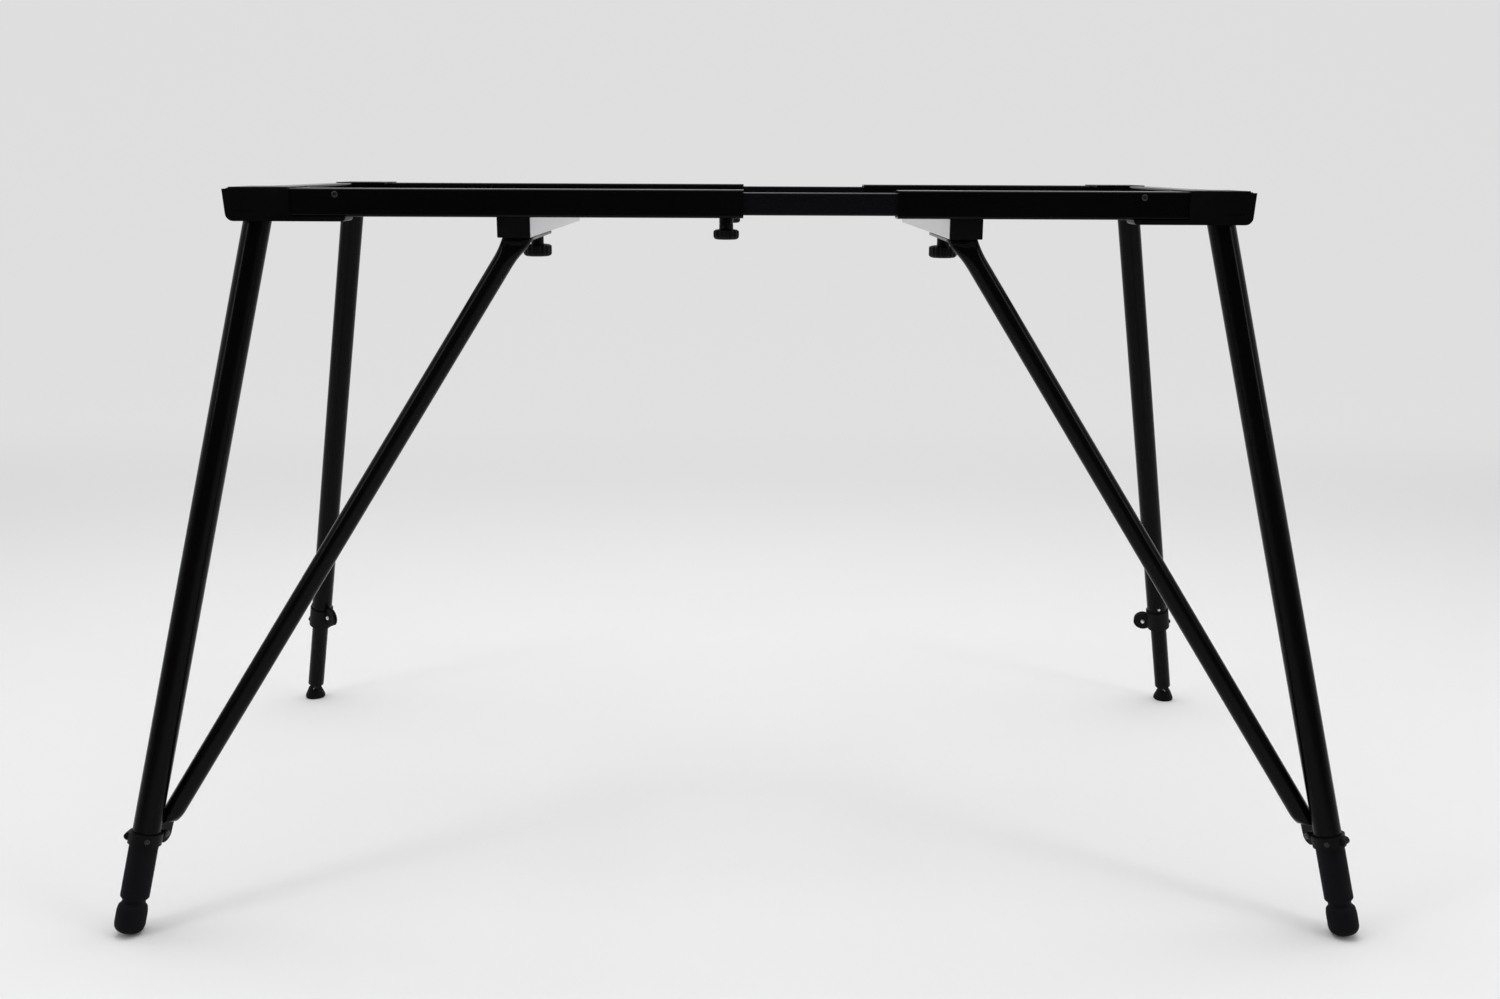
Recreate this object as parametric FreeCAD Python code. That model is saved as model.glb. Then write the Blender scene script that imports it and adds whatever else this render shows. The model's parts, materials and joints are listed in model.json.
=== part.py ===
import FreeCAD, Part
import math
import os
from FreeCAD import Vector

os.makedirs("parts", exist_ok=True)

# A four-legged keyboard stand. The origin is on the floor in the middle of the stand, +X is
# to the right, +Y to the back and +Z up. Lengths are in millimetres, angles in degrees.

# Rails: square tubes in two halves, joined by square tubes that slide inside them
table_height = 866.3
rail_size = 31.8
rail_wall = 1.8
rail_edge_radius = 3.0
rail_spacing = 478.4
frame_half_width = 590.0
left_rail_mouth = 3.7
right_rail_mouth = 180.5
slide_size = 25.4
slide_wall = 1.8
slide_edge_radius = 2.0
slide_left_reach = 258.0
slide_end_gap = 21.2
bush_length = 46.0
bush_inset = 2.0
bush_fit = 0.1
slide_clearance = 0.3

# Corner mouldings: a cap over the rail's end, a tongue inside the rail, a foot under it
# and a pocket beside it for the top of the leg
corner_cap_length = 75.5
corner_length = 138.8
corner_end_wall = 4.0
corner_face_wall = 1.4
corner_base = 5.4
corner_top_rise = 1.2
corner_step_width = 7.5
corner_step_drop = 2.2
corner_side_lean = 1.7
corner_round = 9.0
corner_foot_round = 4.5
tongue_wall = 3.0
tongue_fit = 0.1
pocket_depth = 39.8
cheek_wall = 4.0
cheek_length = 50.0
crease_length = 25.0
crease_height = 3.2
crease_depth = 1.1
crease_inset = 9.5
crease_drop = 25.0
spigot_length = 22.0
corner_screw_radius = 2.1
corner_screw_head_radius = 3.6
corner_screw_head = 1.8
corner_screw_length = 12.0
corner_screw_inset = 10.8
corner_screw_drop = 6.8

# Crossbars under the rails, of rectangular aluminium tube with plastic end caps
crossbar_centre = 261.0
crossbar_width = 38.0
crossbar_height = 23.3
crossbar_wall = 1.8
crossbar_edge_radius = 1.0
crossbar_overhang = 5.1
cap_flange = 3.5
cap_plug_length = 16.0
crossbar_screw_radius = 2.5
crossbar_screw_head_radius = 4.8
crossbar_screw_head = 3.0
crossbar_screw_length = 7.3

# Legs: round tubes that lean outwards to the side and to the front or back
leg_radius = 15.9
leg_wall = 1.6
leg_top_inset_x = 21.7
leg_top_inset_y = 17.3
near_foot_spread_x = 137.0
near_foot_spread_y = 144.3
far_foot_spread_x = 142.8
far_foot_spread_y = 144.9
pivot_drop = 21.3
leg_top_overrun = 10.0
pin_radius = 4.0
pin_clearance = 0.05
pin_head_radius = 7.0
pin_head = 4.0
pin_reach = 5.0
lower_radius = 12.7
lower_wall = 1.5
near_lower_insert = 198.0
far_lower_insert = 143.6
sleeve_insert = 19.0
sleeve_fit = 0.1
fold_yaw_degrees = 4.5

# Collars at the lower ends of the legs, with a split ear, a lug and a bolt. A rise is measured
# up the leg from the floor
near_band_rise = 124.5
near_band_length = 14.0
near_band_radius = 19.2
near_ear_drop = 4.6
near_ear_radius = 11.5
near_ear_offset = 24.4
near_ear_turn_degrees = -72.0
near_lug_reach = 23.4
near_lug_turn_left_degrees = 8.0
near_lug_turn_right_degrees = 50.0
near_screw_turn_degrees = 61.0
near_screw_drop = 7.0
far_band_rise = 179.8
far_band_length = 33.0
far_band_radius = 18.0
far_ear_drop_left = 7.0
far_ear_drop_right = 21.0
far_ear_radius = 14.9
far_ear_offset = 24.5
far_ear_turn_left_degrees = 42.0
far_ear_turn_right_degrees = -17.0
far_lug_reach = 19.4
far_lug_drop = 24.0
far_lug_turn_degrees = 0.0
far_screw_turn_left_degrees = 147.0
far_screw_turn_right_degrees = 88.0
far_screw_rise = 7.5
band_gap = 0.4
ear_thickness = 7.6
ear_clearance = 0.7
split_width = 1.6
lug_radius = 4.6
lug_length = 11.0
collar_bolt_radius = 2.5
collar_bolt_head_radius = 4.2
collar_bolt_head = 4.0
collar_bolt_round_share = 0.6
collar_nut = 4.4
bolt_tail = 1.2
bolt_clearance = 0.1
set_screw_radius = 2.0
set_screw_head_radius = 3.2
set_screw_head = 2.0
set_screw_sink = 0.5

# Rubber boots of the near legs
boot_gap = 0.6
boot_bore_depth = 50.0
boot_bore_fit = 0.1
boot_radius = 16.5
boot_groove_rise = 46.1
boot_groove_radius = 13.2
boot_chamfer = 3.6
boot_groove_width = 3.8
boot_bulb_radius = 17.6
boot_bulb_start_radius = 16.4
boot_bulb_swell = 6.0
boot_bottom_round = 11.0

# Levelling feet of the far legs
far_lower_rise = 29.4
plug_flange = 2.6
plug_length = 18.0
plug_edge = 1.2
stud_radius = 4.0
stud_insert = 16.0
stud_neck_radius = 2.2
stud_neck_reach = 12.0
ball_radius = 6.0
ball_clearance = 0.1
ball_height = 9.0
levelling_foot_radius = 16.0
levelling_foot_top_radius = 10.2
levelling_foot_height = 18.0
levelling_foot_rim = 4.6
levelling_foot_edge = 1.2
levelling_foot_mouth_radius = 9.2

# Braces from the near collars to the crossbars
brace_radius = 12.0
brace_wall = 1.5
brace_bend_y = 226.0
strap_thickness = 4.4
strap_half_width = 18.2
strap_start_gap = 13.0
brace_knob_y = 59.3
bend_reach = 34.0
bend_middle_reach = 13.0
lower_flat_reach = 13.0
lower_taper = 29.0
brace_end_radius = 11.5
brace_notch_gap = 0.3

# Knobs
brace_knob_radius = 18.0
brace_knob_head = 15.2
brace_knob_neck_radius = 8.0
brace_knob_neck = 12.6
brace_bolt_radius = 4.0
brace_bolt_reach = 12.0
insert_radius = 6.5
insert_flange_radius = 9.0
insert_flange = 1.4
insert_length = 12.0
rail_knob_x = 16.1
rail_knob_radius = 15.0
rail_knob_head = 11.3
rail_knob_neck_radius = 8.1
rail_knob_neck = 6.4
rail_boss_height = 6.5
rail_bolt_radius = 4.0
rail_bolt_gap = 0.3
knob_gap = 0.3
knob_bolt_depth_share = 0.6
knob_flutes = 14
knob_flute_radius_share = 0.12
knob_edge_share = 0.08
knob_flute_out_share = 0.35
# Shares that shape the brace's flattened ends
taper_middle_share = 0.55
taper_wide_share = 1.12
taper_thin_share = 0.62
bend_down_share = 0.3
bend_back_share = 0.1
bend_sink_share = 0.22
bend_wide_share = 1.25
bend_thin_share = 0.5
# Edges count as parallel to a direction above this share
parallel_share = 0.999999
thread_clearance = 0.05

# One overrun serves all cuts
overrun = 2.0

# Values that follow from the ones above
rail_y = rail_spacing / 2
rail_bottom = table_height - rail_size
rail_centre_z = table_height - rail_size / 2
rail_outer_y = rail_y + rail_size / 2
rail_inner_y = rail_y - rail_size / 2
corner_bottom = rail_bottom - corner_base
crossbar_bottom = rail_bottom - crossbar_height
strap_z = crossbar_bottom - strap_thickness / 2
pivot_z = table_height - pivot_drop
lower_bore = lower_radius + slide_clearance
slide_right_reach = frame_half_width - corner_length - slide_end_gap
crossbar_half_length = rail_y + crossbar_overhang
leg_top_x = frame_half_width - leg_top_inset_x
leg_top_y = rail_inner_y - leg_top_inset_y
near_foot_x = frame_half_width + near_foot_spread_x
near_foot_y = rail_y + near_foot_spread_y
far_foot_x = frame_half_width + far_foot_spread_x
far_foot_y = rail_y + far_foot_spread_y
near_length = math.hypot(near_foot_x - leg_top_x, near_foot_y - leg_top_y, corner_bottom)
far_length = math.hypot(far_foot_x - leg_top_x, far_foot_y - leg_top_y, corner_bottom)
near_band_top = near_length - near_band_rise
near_band_bottom = near_band_top + near_band_length
near_tube_end = near_band_top - band_gap
near_ear_centre = near_band_top + near_ear_drop
near_lower_top = near_tube_end - near_lower_insert
far_band_top = far_length - far_band_rise
far_band_bottom = far_band_top + far_band_length
far_tube_end = far_band_top - band_gap
far_lower_top = far_tube_end - far_lower_insert
far_lower_end = far_length - far_lower_rise
boot_groove_start = near_length - boot_groove_rise
full_turn = 360.0
half_turn = full_turn / 2
quarter_turn = full_turn / 4
sides = {"left": -1, "right": 1}
ends = {"front": -1, "rear": 1}


def unit(vector):
    """The same direction with length one."""
    return Vector(vector).normalize()


def box(x0, x1, y0, y1, z0, z1):
    """A box between two corners given in any order."""
    low = Vector(min(x0, x1), min(y0, y1), min(z0, z1))
    high = Vector(max(x0, x1), max(y0, y1), max(z0, z1))
    return Part.makeBox(high.x - low.x, high.y - low.y, high.z - low.z, low)


def block(centre, ax, ay, az, lx, ly, lz):
    """A box about a centre, with its edges along three given directions."""
    shape = Part.makeBox(lx, ly, lz, Vector(-lx / 2, -ly / 2, -lz / 2))
    matrix = FreeCAD.Matrix(ax.x, ay.x, az.x, centre.x, ax.y, ay.y, az.y, centre.y,
                            ax.z, ay.z, az.z, centre.z)
    shape.Placement = FreeCAD.Placement(matrix)
    return shape


def rod(start, end, radius):
    """A round bar from one point to another."""
    return Part.makeCylinder(radius, (end - start).Length, start, end - start)


def tube(start, end, radius, wall):
    """A round tube with open ends."""
    way = unit(end - start) * overrun
    return rod(start, end, radius).cut(rod(start - way, end + way, radius - wall))


def hexagon(start, end, radius):
    """A six-sided bar whose corners lie on a circle."""
    shape = Part.Face(Part.makePolygon([
        Vector(radius * math.cos(math.radians(a)), radius * math.sin(math.radians(a)), 0)
        for a in range(0, 361, 60)])).extrude(Vector(0, 0, (end - start).Length))
    shape.Placement = FreeCAD.Placement(start, FreeCAD.Rotation(Vector(0, 0, 1), end - start))
    return shape


def round_along(shape, direction, radius):
    """Rounds the straight edges that run along one direction."""
    ways = [(edge, unit(edge.tangentAt(edge.FirstParameter))) for edge in shape.Edges]
    return shape.makeFillet(radius, [edge for edge, way in ways if abs(way.dot(direction)) > parallel_share])


def revolve(points, origin, axis):
    """A solid turned from an outline of (radius, height) points round an axis."""
    wire = Part.makePolygon([Vector(r, 0, z) for r, z in points + points[:1]])
    return place_turned(Part.Face(wire), origin, axis)


def place_turned(face, origin, axis):
    """Turns a face once round +Z and stands the solid on an axis."""
    solid = face.revolve(Vector(0, 0, 0), Vector(0, 0, 1), full_turn)
    solid.Placement = FreeCAD.Placement(origin, FreeCAD.Rotation(Vector(0, 0, 1), axis))
    return solid


def arc(start, middle, end):
    """An arc edge in the plane of radius and height."""
    p = [Vector(r, 0, z) for r, z in (start, middle, end)]
    return Part.Arc(*p).toShape()


def line(start, end):
    """A straight edge in the plane of radius and height."""
    return Part.makeLine(Vector(start[0], 0, start[1]), Vector(end[0], 0, end[1]))


def save(name, *solids):
    """Writes one node, of one solid or of several separate ones."""
    shape = solids[0] if len(solids) == 1 else Part.makeCompound(solids)
    if not shape.isValid():
        raise RuntimeError(name + " isn't a valid shape")
    shape.exportStep("parts/" + name + ".step")
    print(name, len(shape.Solids), "solid,", round(shape.Volume), "mm3")


class Leg:
    """The axis of one leg and the directions that go with it."""

    def __init__(self, side, end):
        self.side = side
        self.end = end
        self.top = Vector(side * leg_top_x, end * leg_top_y, corner_bottom)
        foot_x, foot_y = (near_foot_x, near_foot_y) if end < 0 else (far_foot_x, far_foot_y)
        foot = Vector(side * foot_x, end * foot_y, 0)
        self.down = unit(foot - self.top)
        self.pivot = self.top - self.down * ((pivot_z - corner_bottom) / -self.down.z)
        inward = Vector(-side, 0, 0)
        self.inward = unit(inward - self.down * inward.dot(self.down))
        self.forward = unit(self.down.cross(self.inward))
        if self.forward.y > 0:
            self.forward = self.forward * -1
        yaw = math.radians(fold_yaw_degrees) if (side < 0 and end > 0) else 0
        self.fold_way = Vector(-side * math.cos(yaw), -end * math.sin(yaw), 0)
        self.pin_way = unit(self.fold_way.cross(self.down))
        if self.pin_way.y * end < 0:
            self.pin_way = self.pin_way * -1

    def at(self, distance):
        """The point on the axis at a distance below the moulding."""
        return self.top + self.down * distance

    def at_height(self, height):
        """The point on the axis at a height above the floor."""
        return self.at((corner_bottom - height) / -self.down.z)


def pin_ends(leg):
    """The hinge pin's inboard end, at the cheek, and its end inside the rail."""
    cheek_y = rail_inner_y - pocket_depth - cheek_wall
    out = leg.pin_way / abs(leg.pin_way.y)
    start = leg.pivot + out * (cheek_y - abs(leg.pivot.y))
    end = leg.pivot + out * (rail_inner_y + rail_wall + pin_reach - abs(leg.pivot.y))
    return start, end


def pin_hole(leg, clearance):
    """The cutter for the hinge pin's hole."""
    start, end = pin_ends(leg)
    return rod(start - leg.pin_way * overrun, end + leg.pin_way * overrun, pin_radius + clearance)


def corner_screw(side, end, clearance):
    """The screw that holds a rail on its moulding's tongue."""
    x = side * (frame_half_width - corner_length + corner_screw_inset)
    z = table_height - corner_screw_drop
    face = Vector(x, end * rail_outer_y, z)
    way = Vector(0, end, 0)
    head = rod(face, face + way * corner_screw_head, corner_screw_head_radius)
    head = head.makeFillet(corner_screw_head / 2, [head.Edges[0] if end > 0 else head.Edges[0]])
    shank = rod(face - way * corner_screw_length, face + way * (corner_screw_head / 2),
                corner_screw_radius + clearance)
    return head.fuse(shank)


def crossbar_screw(side, end, clearance):
    """The screw from inside a crossbar up into a rail."""
    seat = Vector(side * crossbar_centre, end * rail_y, rail_bottom - crossbar_wall)
    up = Vector(0, 0, 1)
    head = rod(seat - up * crossbar_screw_head, seat, crossbar_screw_head_radius)
    shank = rod(seat - up * (crossbar_screw_head / 2),
                seat - up * crossbar_screw_head + up * crossbar_screw_length,
                crossbar_screw_radius + clearance)
    return head.fuse(shank) if clearance == 0 else shank


def outer_rail(side, end):
    """An outer rail tube, with its holes, and on the left a welded boss for the clamp bolt."""
    mouth = -left_rail_mouth if side < 0 else right_rail_mouth
    x0 = side * mouth
    x1 = side * (frame_half_width - corner_end_wall)
    y = end * rail_y
    half = rail_size / 2
    outside = round_along(box(x0, x1, y - half, y + half, rail_bottom, table_height), Vector(1, 0, 0),
                          rail_edge_radius)
    inner = half - rail_wall
    bore = box(x0 - side * overrun, x1 + side * overrun, y - inner, y + inner,
               rail_bottom + rail_wall, table_height - rail_wall)
    bore = round_along(bore, Vector(1, 0, 0), rail_edge_radius - rail_wall)
    rail = outside
    if side < 0:
        centre = Vector(-rail_knob_x, y, rail_bottom)
        rail = rail.fuse(rod(centre - Vector(0, 0, rail_boss_height), centre + Vector(0, 0, rail_wall / 2),
                             rail_knob_neck_radius))
    rail = rail.cut(bore)
    if side < 0:
        rail = rail.cut(rod(centre - Vector(0, 0, rail_boss_height + overrun),
                            centre + Vector(0, 0, rail_wall + overrun),
                            rail_bolt_radius + thread_clearance))
    rail = rail.cut(corner_screw(side, end, thread_clearance))
    rail = rail.cut(crossbar_screw(side, end, thread_clearance))
    return rail.cut(pin_hole(Leg(side, end), thread_clearance))


def slide_tube(end):
    """The inner square tube that is fixed in the right rail and slides in the left one."""
    y = end * rail_y
    half = slide_size / 2
    outside = box(-slide_left_reach, slide_right_reach, y - half, y + half, rail_centre_z - half,
                  rail_centre_z + half)
    outside = round_along(outside, Vector(1, 0, 0), slide_edge_radius)
    inner = half - slide_wall
    return outside.cut(box(-slide_left_reach - overrun, slide_right_reach + overrun, y - inner, y + inner,
                           rail_centre_z - inner, rail_centre_z + inner))


def guide_bush(side, end):
    """A thin square sleeve in a rail's mouth, round the slide tube."""
    mouth = left_rail_mouth if side < 0 else right_rail_mouth
    x0 = mouth + side * bush_inset
    x1 = x0 + side * bush_length
    y = end * rail_y
    outer = rail_size / 2 - rail_wall - bush_fit
    inner = slide_size / 2 + (slide_clearance if side < 0 else bush_fit)
    bush = box(x0, x1, y - outer, y + outer, rail_centre_z - outer, rail_centre_z + outer)
    bush = round_along(bush, Vector(1, 0, 0), rail_edge_radius - rail_wall)
    bush = bush.cut(box(x0 - side * overrun, x1 + side * overrun, y - inner, y + inner,
                        rail_centre_z - inner, rail_centre_z + inner))
    if side < 0:
        centre = Vector(-rail_knob_x, y, rail_bottom)
        bush = bush.cut(rod(centre, centre + Vector(0, 0, rail_size / 2), rail_bolt_radius + bolt_clearance))
    return bush


def corner_outline(x_out, x_in, z_low, z_high, side):
    """The cap's front outline: leaning outer side, low step at the end and rounded bottom corner."""
    lean = side * corner_side_lean
    step_x = x_out - side * corner_step_width
    bend = math.sqrt(0.5)
    centre = Vector(x_out - lean - side * corner_round, 0, z_low + corner_round)
    a = Vector(x_out, 0, z_high - corner_step_drop)
    b = Vector(centre.x + side * corner_round, 0, centre.z)
    c = Vector(centre.x + side * corner_round * bend, 0, centre.z - corner_round * bend)
    d = Vector(centre.x, 0, z_low)
    e = Vector(x_in, 0, z_low)
    f = Vector(x_in, 0, z_high)
    g = Vector(step_x, 0, z_high)
    h = Vector(step_x, 0, z_high - corner_step_drop)
    edges = [Part.makeLine(a, b), Part.Arc(b, c, d).toShape(), Part.makeLine(d, e), Part.makeLine(e, f),
             Part.makeLine(f, g), Part.makeLine(g, h), Part.makeLine(h, a)]
    return Part.Face(Part.Wire(edges))


def corner_foot(side, end):
    """The moulding's foot under the rail, with a rounded inner end."""
    x_out = side * (frame_half_width - corner_cap_length)
    x_in = side * (frame_half_width - corner_length)
    foot = box(x_out + side * overrun, x_in, end * rail_inner_y, end * (rail_outer_y + corner_face_wall),
               corner_bottom, rail_bottom)
    low = [e for e in foot.Edges
           if all(abs(v.X - x_in) < 1e-6 and abs(v.Z - corner_bottom) < 1e-6 for v in e.Vertexes)]
    return foot.makeFillet(corner_foot_round, low)


def corner_moulding(side, end):
    """One corner moulding, hollowed for the rail's end and open below for the leg."""
    leg = Leg(side, end)
    x_out = side * frame_half_width
    x_in = side * (frame_half_width - corner_cap_length)
    y_face = end * (rail_outer_y + corner_face_wall)
    cheek_y = rail_inner_y - pocket_depth
    y_cheek = end * (cheek_y - cheek_wall)
    z_high = table_height + corner_top_rise
    face = corner_outline(x_out, x_in, corner_bottom, z_high, side)
    face.translate(Vector(0, y_face, 0))
    body = face.extrude(Vector(0, y_cheek - y_face, 0))
    body = body.fuse(corner_foot(side, end)).removeSplitter()
    # The cheek is shorter than the cap, so that a folded leg can leave the pocket
    body = body.cut(box(x_in - side * overrun, side * (frame_half_width - cheek_length),
                        y_cheek - end * overrun,
                        end * cheek_y, corner_bottom - overrun, z_high + overrun))
    # The pocket for the leg, open below and towards the middle of the stand
    roof = table_height - leg_wall
    body = body.cut(box(x_out - side * corner_end_wall, x_in - side * overrun, end * cheek_y,
                        end * rail_inner_y,
                        corner_bottom - overrun, roof))
    # The rail's seat
    body = body.cut(box(x_out - side * corner_end_wall, x_in - side * overrun, end * rail_inner_y,
                        end * rail_outer_y,
                        rail_bottom, table_height))
    # A shallow crease in the front face
    x_crease = x_out - side * (crease_inset + crease_length / 2)
    z_crease = table_height - crease_drop
    bulge = (crease_length ** 2 / 4 + crease_height ** 2 / 4) / crease_height
    lens = rod(Vector(x_crease, y_face + end * overrun, z_crease + crease_height / 2 - bulge),
               Vector(x_crease, y_face - end * crease_depth, z_crease + crease_height / 2 - bulge), bulge)
    lens = lens.common(rod(Vector(x_crease, y_face + end * overrun, z_crease - crease_height / 2 + bulge),
                           Vector(x_crease, y_face - end * crease_depth,
                                  z_crease - crease_height / 2 + bulge), bulge))
    body = body.cut(lens)
    # The hollow tongue inside the rail
    outer = rail_size / 2 - rail_wall - tongue_fit
    inner = outer - tongue_wall
    y = end * rail_y
    x_tongue = side * (frame_half_width - corner_length)
    tongue = box(x_out - side * corner_end_wall / 2, x_tongue, y - outer, y + outer,
                 rail_centre_z - outer, rail_centre_z + outer)
    tongue = round_along(tongue, Vector(1, 0, 0), rail_edge_radius - rail_wall)
    tongue = tongue.cut(box(x_out - side * corner_end_wall, x_tongue - side * overrun, y - inner, y + inner,
                            rail_centre_z - inner, rail_centre_z + inner))
    body = body.fuse(tongue)
    # The spigot for the end rail
    spigot_half = rail_size / 2 - rail_wall - tongue_fit
    x_end = side * (frame_half_width - rail_size / 2)
    spigot = box(x_end - spigot_half, x_end + spigot_half, y_cheek + end * cheek_wall / 2,
                 y_cheek - end * spigot_length,
                 rail_centre_z - spigot_half, rail_centre_z + spigot_half)
    spigot = round_along(spigot, Vector(0, 1, 0), rail_edge_radius - rail_wall)
    body = body.fuse(spigot)
    head_start, head_end = pin_ends(leg)
    room = rod(head_start + leg.pin_way * overrun / 2, head_start - leg.pin_way * (spigot_length + overrun),
               pin_head_radius + ear_clearance)
    body = body.cut(room)
    body = body.cut(pin_hole(leg, thread_clearance))
    return body.cut(corner_screw(side, end, thread_clearance)).removeSplitter()


def end_rail(side):
    """The tube along the end of the stand, between two corner mouldings."""
    half = rail_size / 2
    x = side * (frame_half_width - half)
    y = rail_inner_y - pocket_depth - cheek_wall
    outside = round_along(box(x - half, x + half, -y, y, rail_bottom, table_height), Vector(0, 1, 0),
                          rail_edge_radius)
    inner = half - rail_wall
    bore = box(x - inner, x + inner, -y - overrun, y + overrun, rail_bottom + rail_wall,
               table_height - rail_wall)
    rail = outside.cut(round_along(bore, Vector(0, 1, 0), rail_edge_radius - rail_wall))
    for end in ends.values():
        leg = Leg(side, end)
        start = pin_ends(leg)[0]
        rail = rail.cut(rod(start + leg.pin_way * overrun, start - leg.pin_way * (pin_head + overrun),
                            pin_head_radius + ear_clearance))
    # A recess can cut a loose crumb off the rail's corner, which falls away
    return max(rail.Solids, key=lambda solid: solid.Volume)


def leg_pin(side, end):
    """The bolt that a leg turns on, with its head inboard."""
    leg = Leg(side, end)
    start, stop = pin_ends(leg)
    seat = start + leg.pin_way * (overrun / 2)
    head = rod(seat - leg.pin_way * pin_head, seat, pin_head_radius)
    return head.fuse(rod(seat - leg.pin_way * (pin_head / 2), stop, pin_radius))


def upper_leg(side, end):
    """The upper tube of a leg, with the hole for its hinge pin."""
    leg = Leg(side, end)
    length = near_tube_end if end < 0 else far_tube_end
    body = tube(leg.pivot - leg.down * leg_top_overrun, leg.at(length), leg_radius, leg_wall)
    if end > 0:
        body = body.cut(set_screw(leg, thread_clearance))
    return body.cut(pin_hole(leg, pin_clearance))


def lower_leg(side, end):
    """The tube that slides in the collar and the upper tube."""
    leg = Leg(side, end)
    start = near_lower_top if end < 0 else far_lower_top
    stop = near_band_bottom + boot_gap + boot_bore_depth if end < 0 else far_lower_end
    return tube(leg.at(start), leg.at(stop), lower_radius, lower_wall)


def turned(leg, degrees):
    """The direction across a leg that is turned from inwards towards the front."""
    angle = math.radians(degrees)
    return unit(leg.inward * math.cos(angle) + leg.forward * math.sin(angle))


def ear_ways(leg):
    """The directions of a collar's ear and of its bolt."""
    if leg.end < 0:
        turn = near_ear_turn_degrees
    else:
        turn = far_ear_turn_left_degrees if leg.side < 0 else far_ear_turn_right_degrees
    return turned(leg, turn), turned(leg, turn + quarter_turn)


def band_sizes(leg):
    """Top, bottom and radius of a collar's band, and the end of the tube above it."""
    if leg.end < 0:
        return near_band_top, near_band_bottom, near_band_radius, near_tube_end
    return far_band_top, far_band_bottom, far_band_radius, far_tube_end


def ear_sizes(leg):
    """Distance along the leg, radius and offset of a collar's ear."""
    if leg.end < 0:
        return near_ear_centre, near_ear_radius, near_ear_offset
    drop = far_ear_drop_left if leg.side < 0 else far_ear_drop_right
    return far_band_top + drop, far_ear_radius, far_ear_offset


def lug_sizes(leg):
    """Direction, reach and distance along the leg of a collar's lug."""
    if leg.end < 0:
        turn = near_lug_turn_left_degrees if leg.side < 0 else near_lug_turn_right_degrees
        return turned(leg, half_turn - turn), near_lug_reach, (near_band_top + near_band_bottom) / 2
    return turned(leg, half_turn - far_lug_turn_degrees), far_lug_reach, far_band_top + far_lug_drop


def set_screw(leg, clearance):
    """The screw of a collar: through its band on a near leg, through the tube and its sleeve on a far one."""
    if leg.end < 0:
        radius, turn, place = near_band_radius, near_screw_turn_degrees, near_band_top + near_screw_drop
    else:
        turn = far_screw_turn_left_degrees if leg.side < 0 else far_screw_turn_right_degrees
        radius, place = leg_radius, far_band_top - far_screw_rise
    way = turned(leg, turn)
    middle = leg.at(place)
    seat = middle + way * (radius - set_screw_sink)
    head = rod(seat, seat + way * set_screw_head, set_screw_head_radius)
    return head.fuse(rod(middle + way * lower_bore, seat + way * (set_screw_head / 2),
                         set_screw_radius + clearance))


def collar(side, end):
    """A split collar: a sleeve in the leg, a band, an ear with a bolt hole and a lug."""
    leg = Leg(side, end)
    top, bottom, radius, tube_end = band_sizes(leg)
    centre, ear_radius, offset = ear_sizes(leg)
    ear, bolt = ear_ways(leg)
    middle = leg.at(centre)
    hole = middle + ear * offset
    disc = rod(hole - bolt * (ear_thickness / 2), hole + bolt * (ear_thickness / 2), ear_radius)
    web = block(middle + ear * (offset / 2), ear, leg.down, bolt, offset, ear_radius * math.sqrt(3),
                ear_thickness)
    plate = disc.fuse(web)
    room = max(boot_radius, leg_radius) + ear_clearance
    plate = plate.cut(rod(leg.at(bottom), leg.at(bottom + ear_radius * 2), room))
    plate = plate.cut(rod(leg.at(top - ear_radius * 2), leg.at(top), room))
    lug, reach, lug_at = lug_sizes(leg)
    along = unit(lug.cross(leg.down))
    lug_end = leg.at(lug_at) + lug * (reach - lug_radius)
    knuckle = rod(lug_end - along * (lug_length / 2), lug_end + along * (lug_length / 2), lug_radius)
    neck = block((leg.at(lug_at) + lug_end) / 2, lug, leg.down, along, reach - lug_radius, lug_radius * 2,
                 lug_length)
    band = rod(leg.at(top), leg.at(bottom), radius)
    sleeve = rod(leg.at(tube_end - sleeve_insert), leg.at(top) + leg.down * overrun,
                 leg_radius - leg_wall - sleeve_fit)
    body = band.fuse([sleeve, plate, knuckle, neck])
    body = body.cut(rod(leg.at(tube_end - sleeve_insert - overrun), leg.at(bottom + overrun), lower_bore))
    slit_reach = offset + ear_radius + overrun
    slit = block(middle + ear * (slit_reach / 2), ear, leg.down, bolt, slit_reach,
                 (ear_radius + overrun) * 2, split_width)
    body = body.cut(slit)
    body = body.cut(rod(hole - bolt * ear_thickness, hole + bolt * ear_thickness,
                        collar_bolt_radius + bolt_clearance))
    return body.cut(set_screw(leg, thread_clearance)).removeSplitter()


def collar_bolt(side, end):
    """The bolt through a collar's ear and the brace, with a domed head in front and a nut behind."""
    leg = Leg(side, end)
    centre, ear_radius, offset = ear_sizes(leg)
    ear, bolt = ear_ways(leg)
    hole = leg.at(centre) + ear * offset
    held = ear_thickness / 2 + (strap_thickness if end < 0 else 0)
    seat = hole + bolt * held
    back = hole - bolt * (ear_thickness / 2)
    head = rod(seat, seat + bolt * collar_bolt_head, collar_bolt_head_radius)
    head = head.makeFillet(collar_bolt_head * collar_bolt_round_share, [head.Edges[0]])
    shank = rod(back - bolt * (collar_nut + bolt_tail), seat + bolt * (collar_bolt_head / 2),
                collar_bolt_radius)
    nut = hexagon(back - bolt * collar_nut, back, collar_bolt_head_radius)
    nut = nut.cut(rod(back - bolt * (collar_nut + overrun), back + bolt * overrun,
                      collar_bolt_radius + thread_clearance))
    return head.fuse(shank), nut, set_screw(leg, 0)


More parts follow.
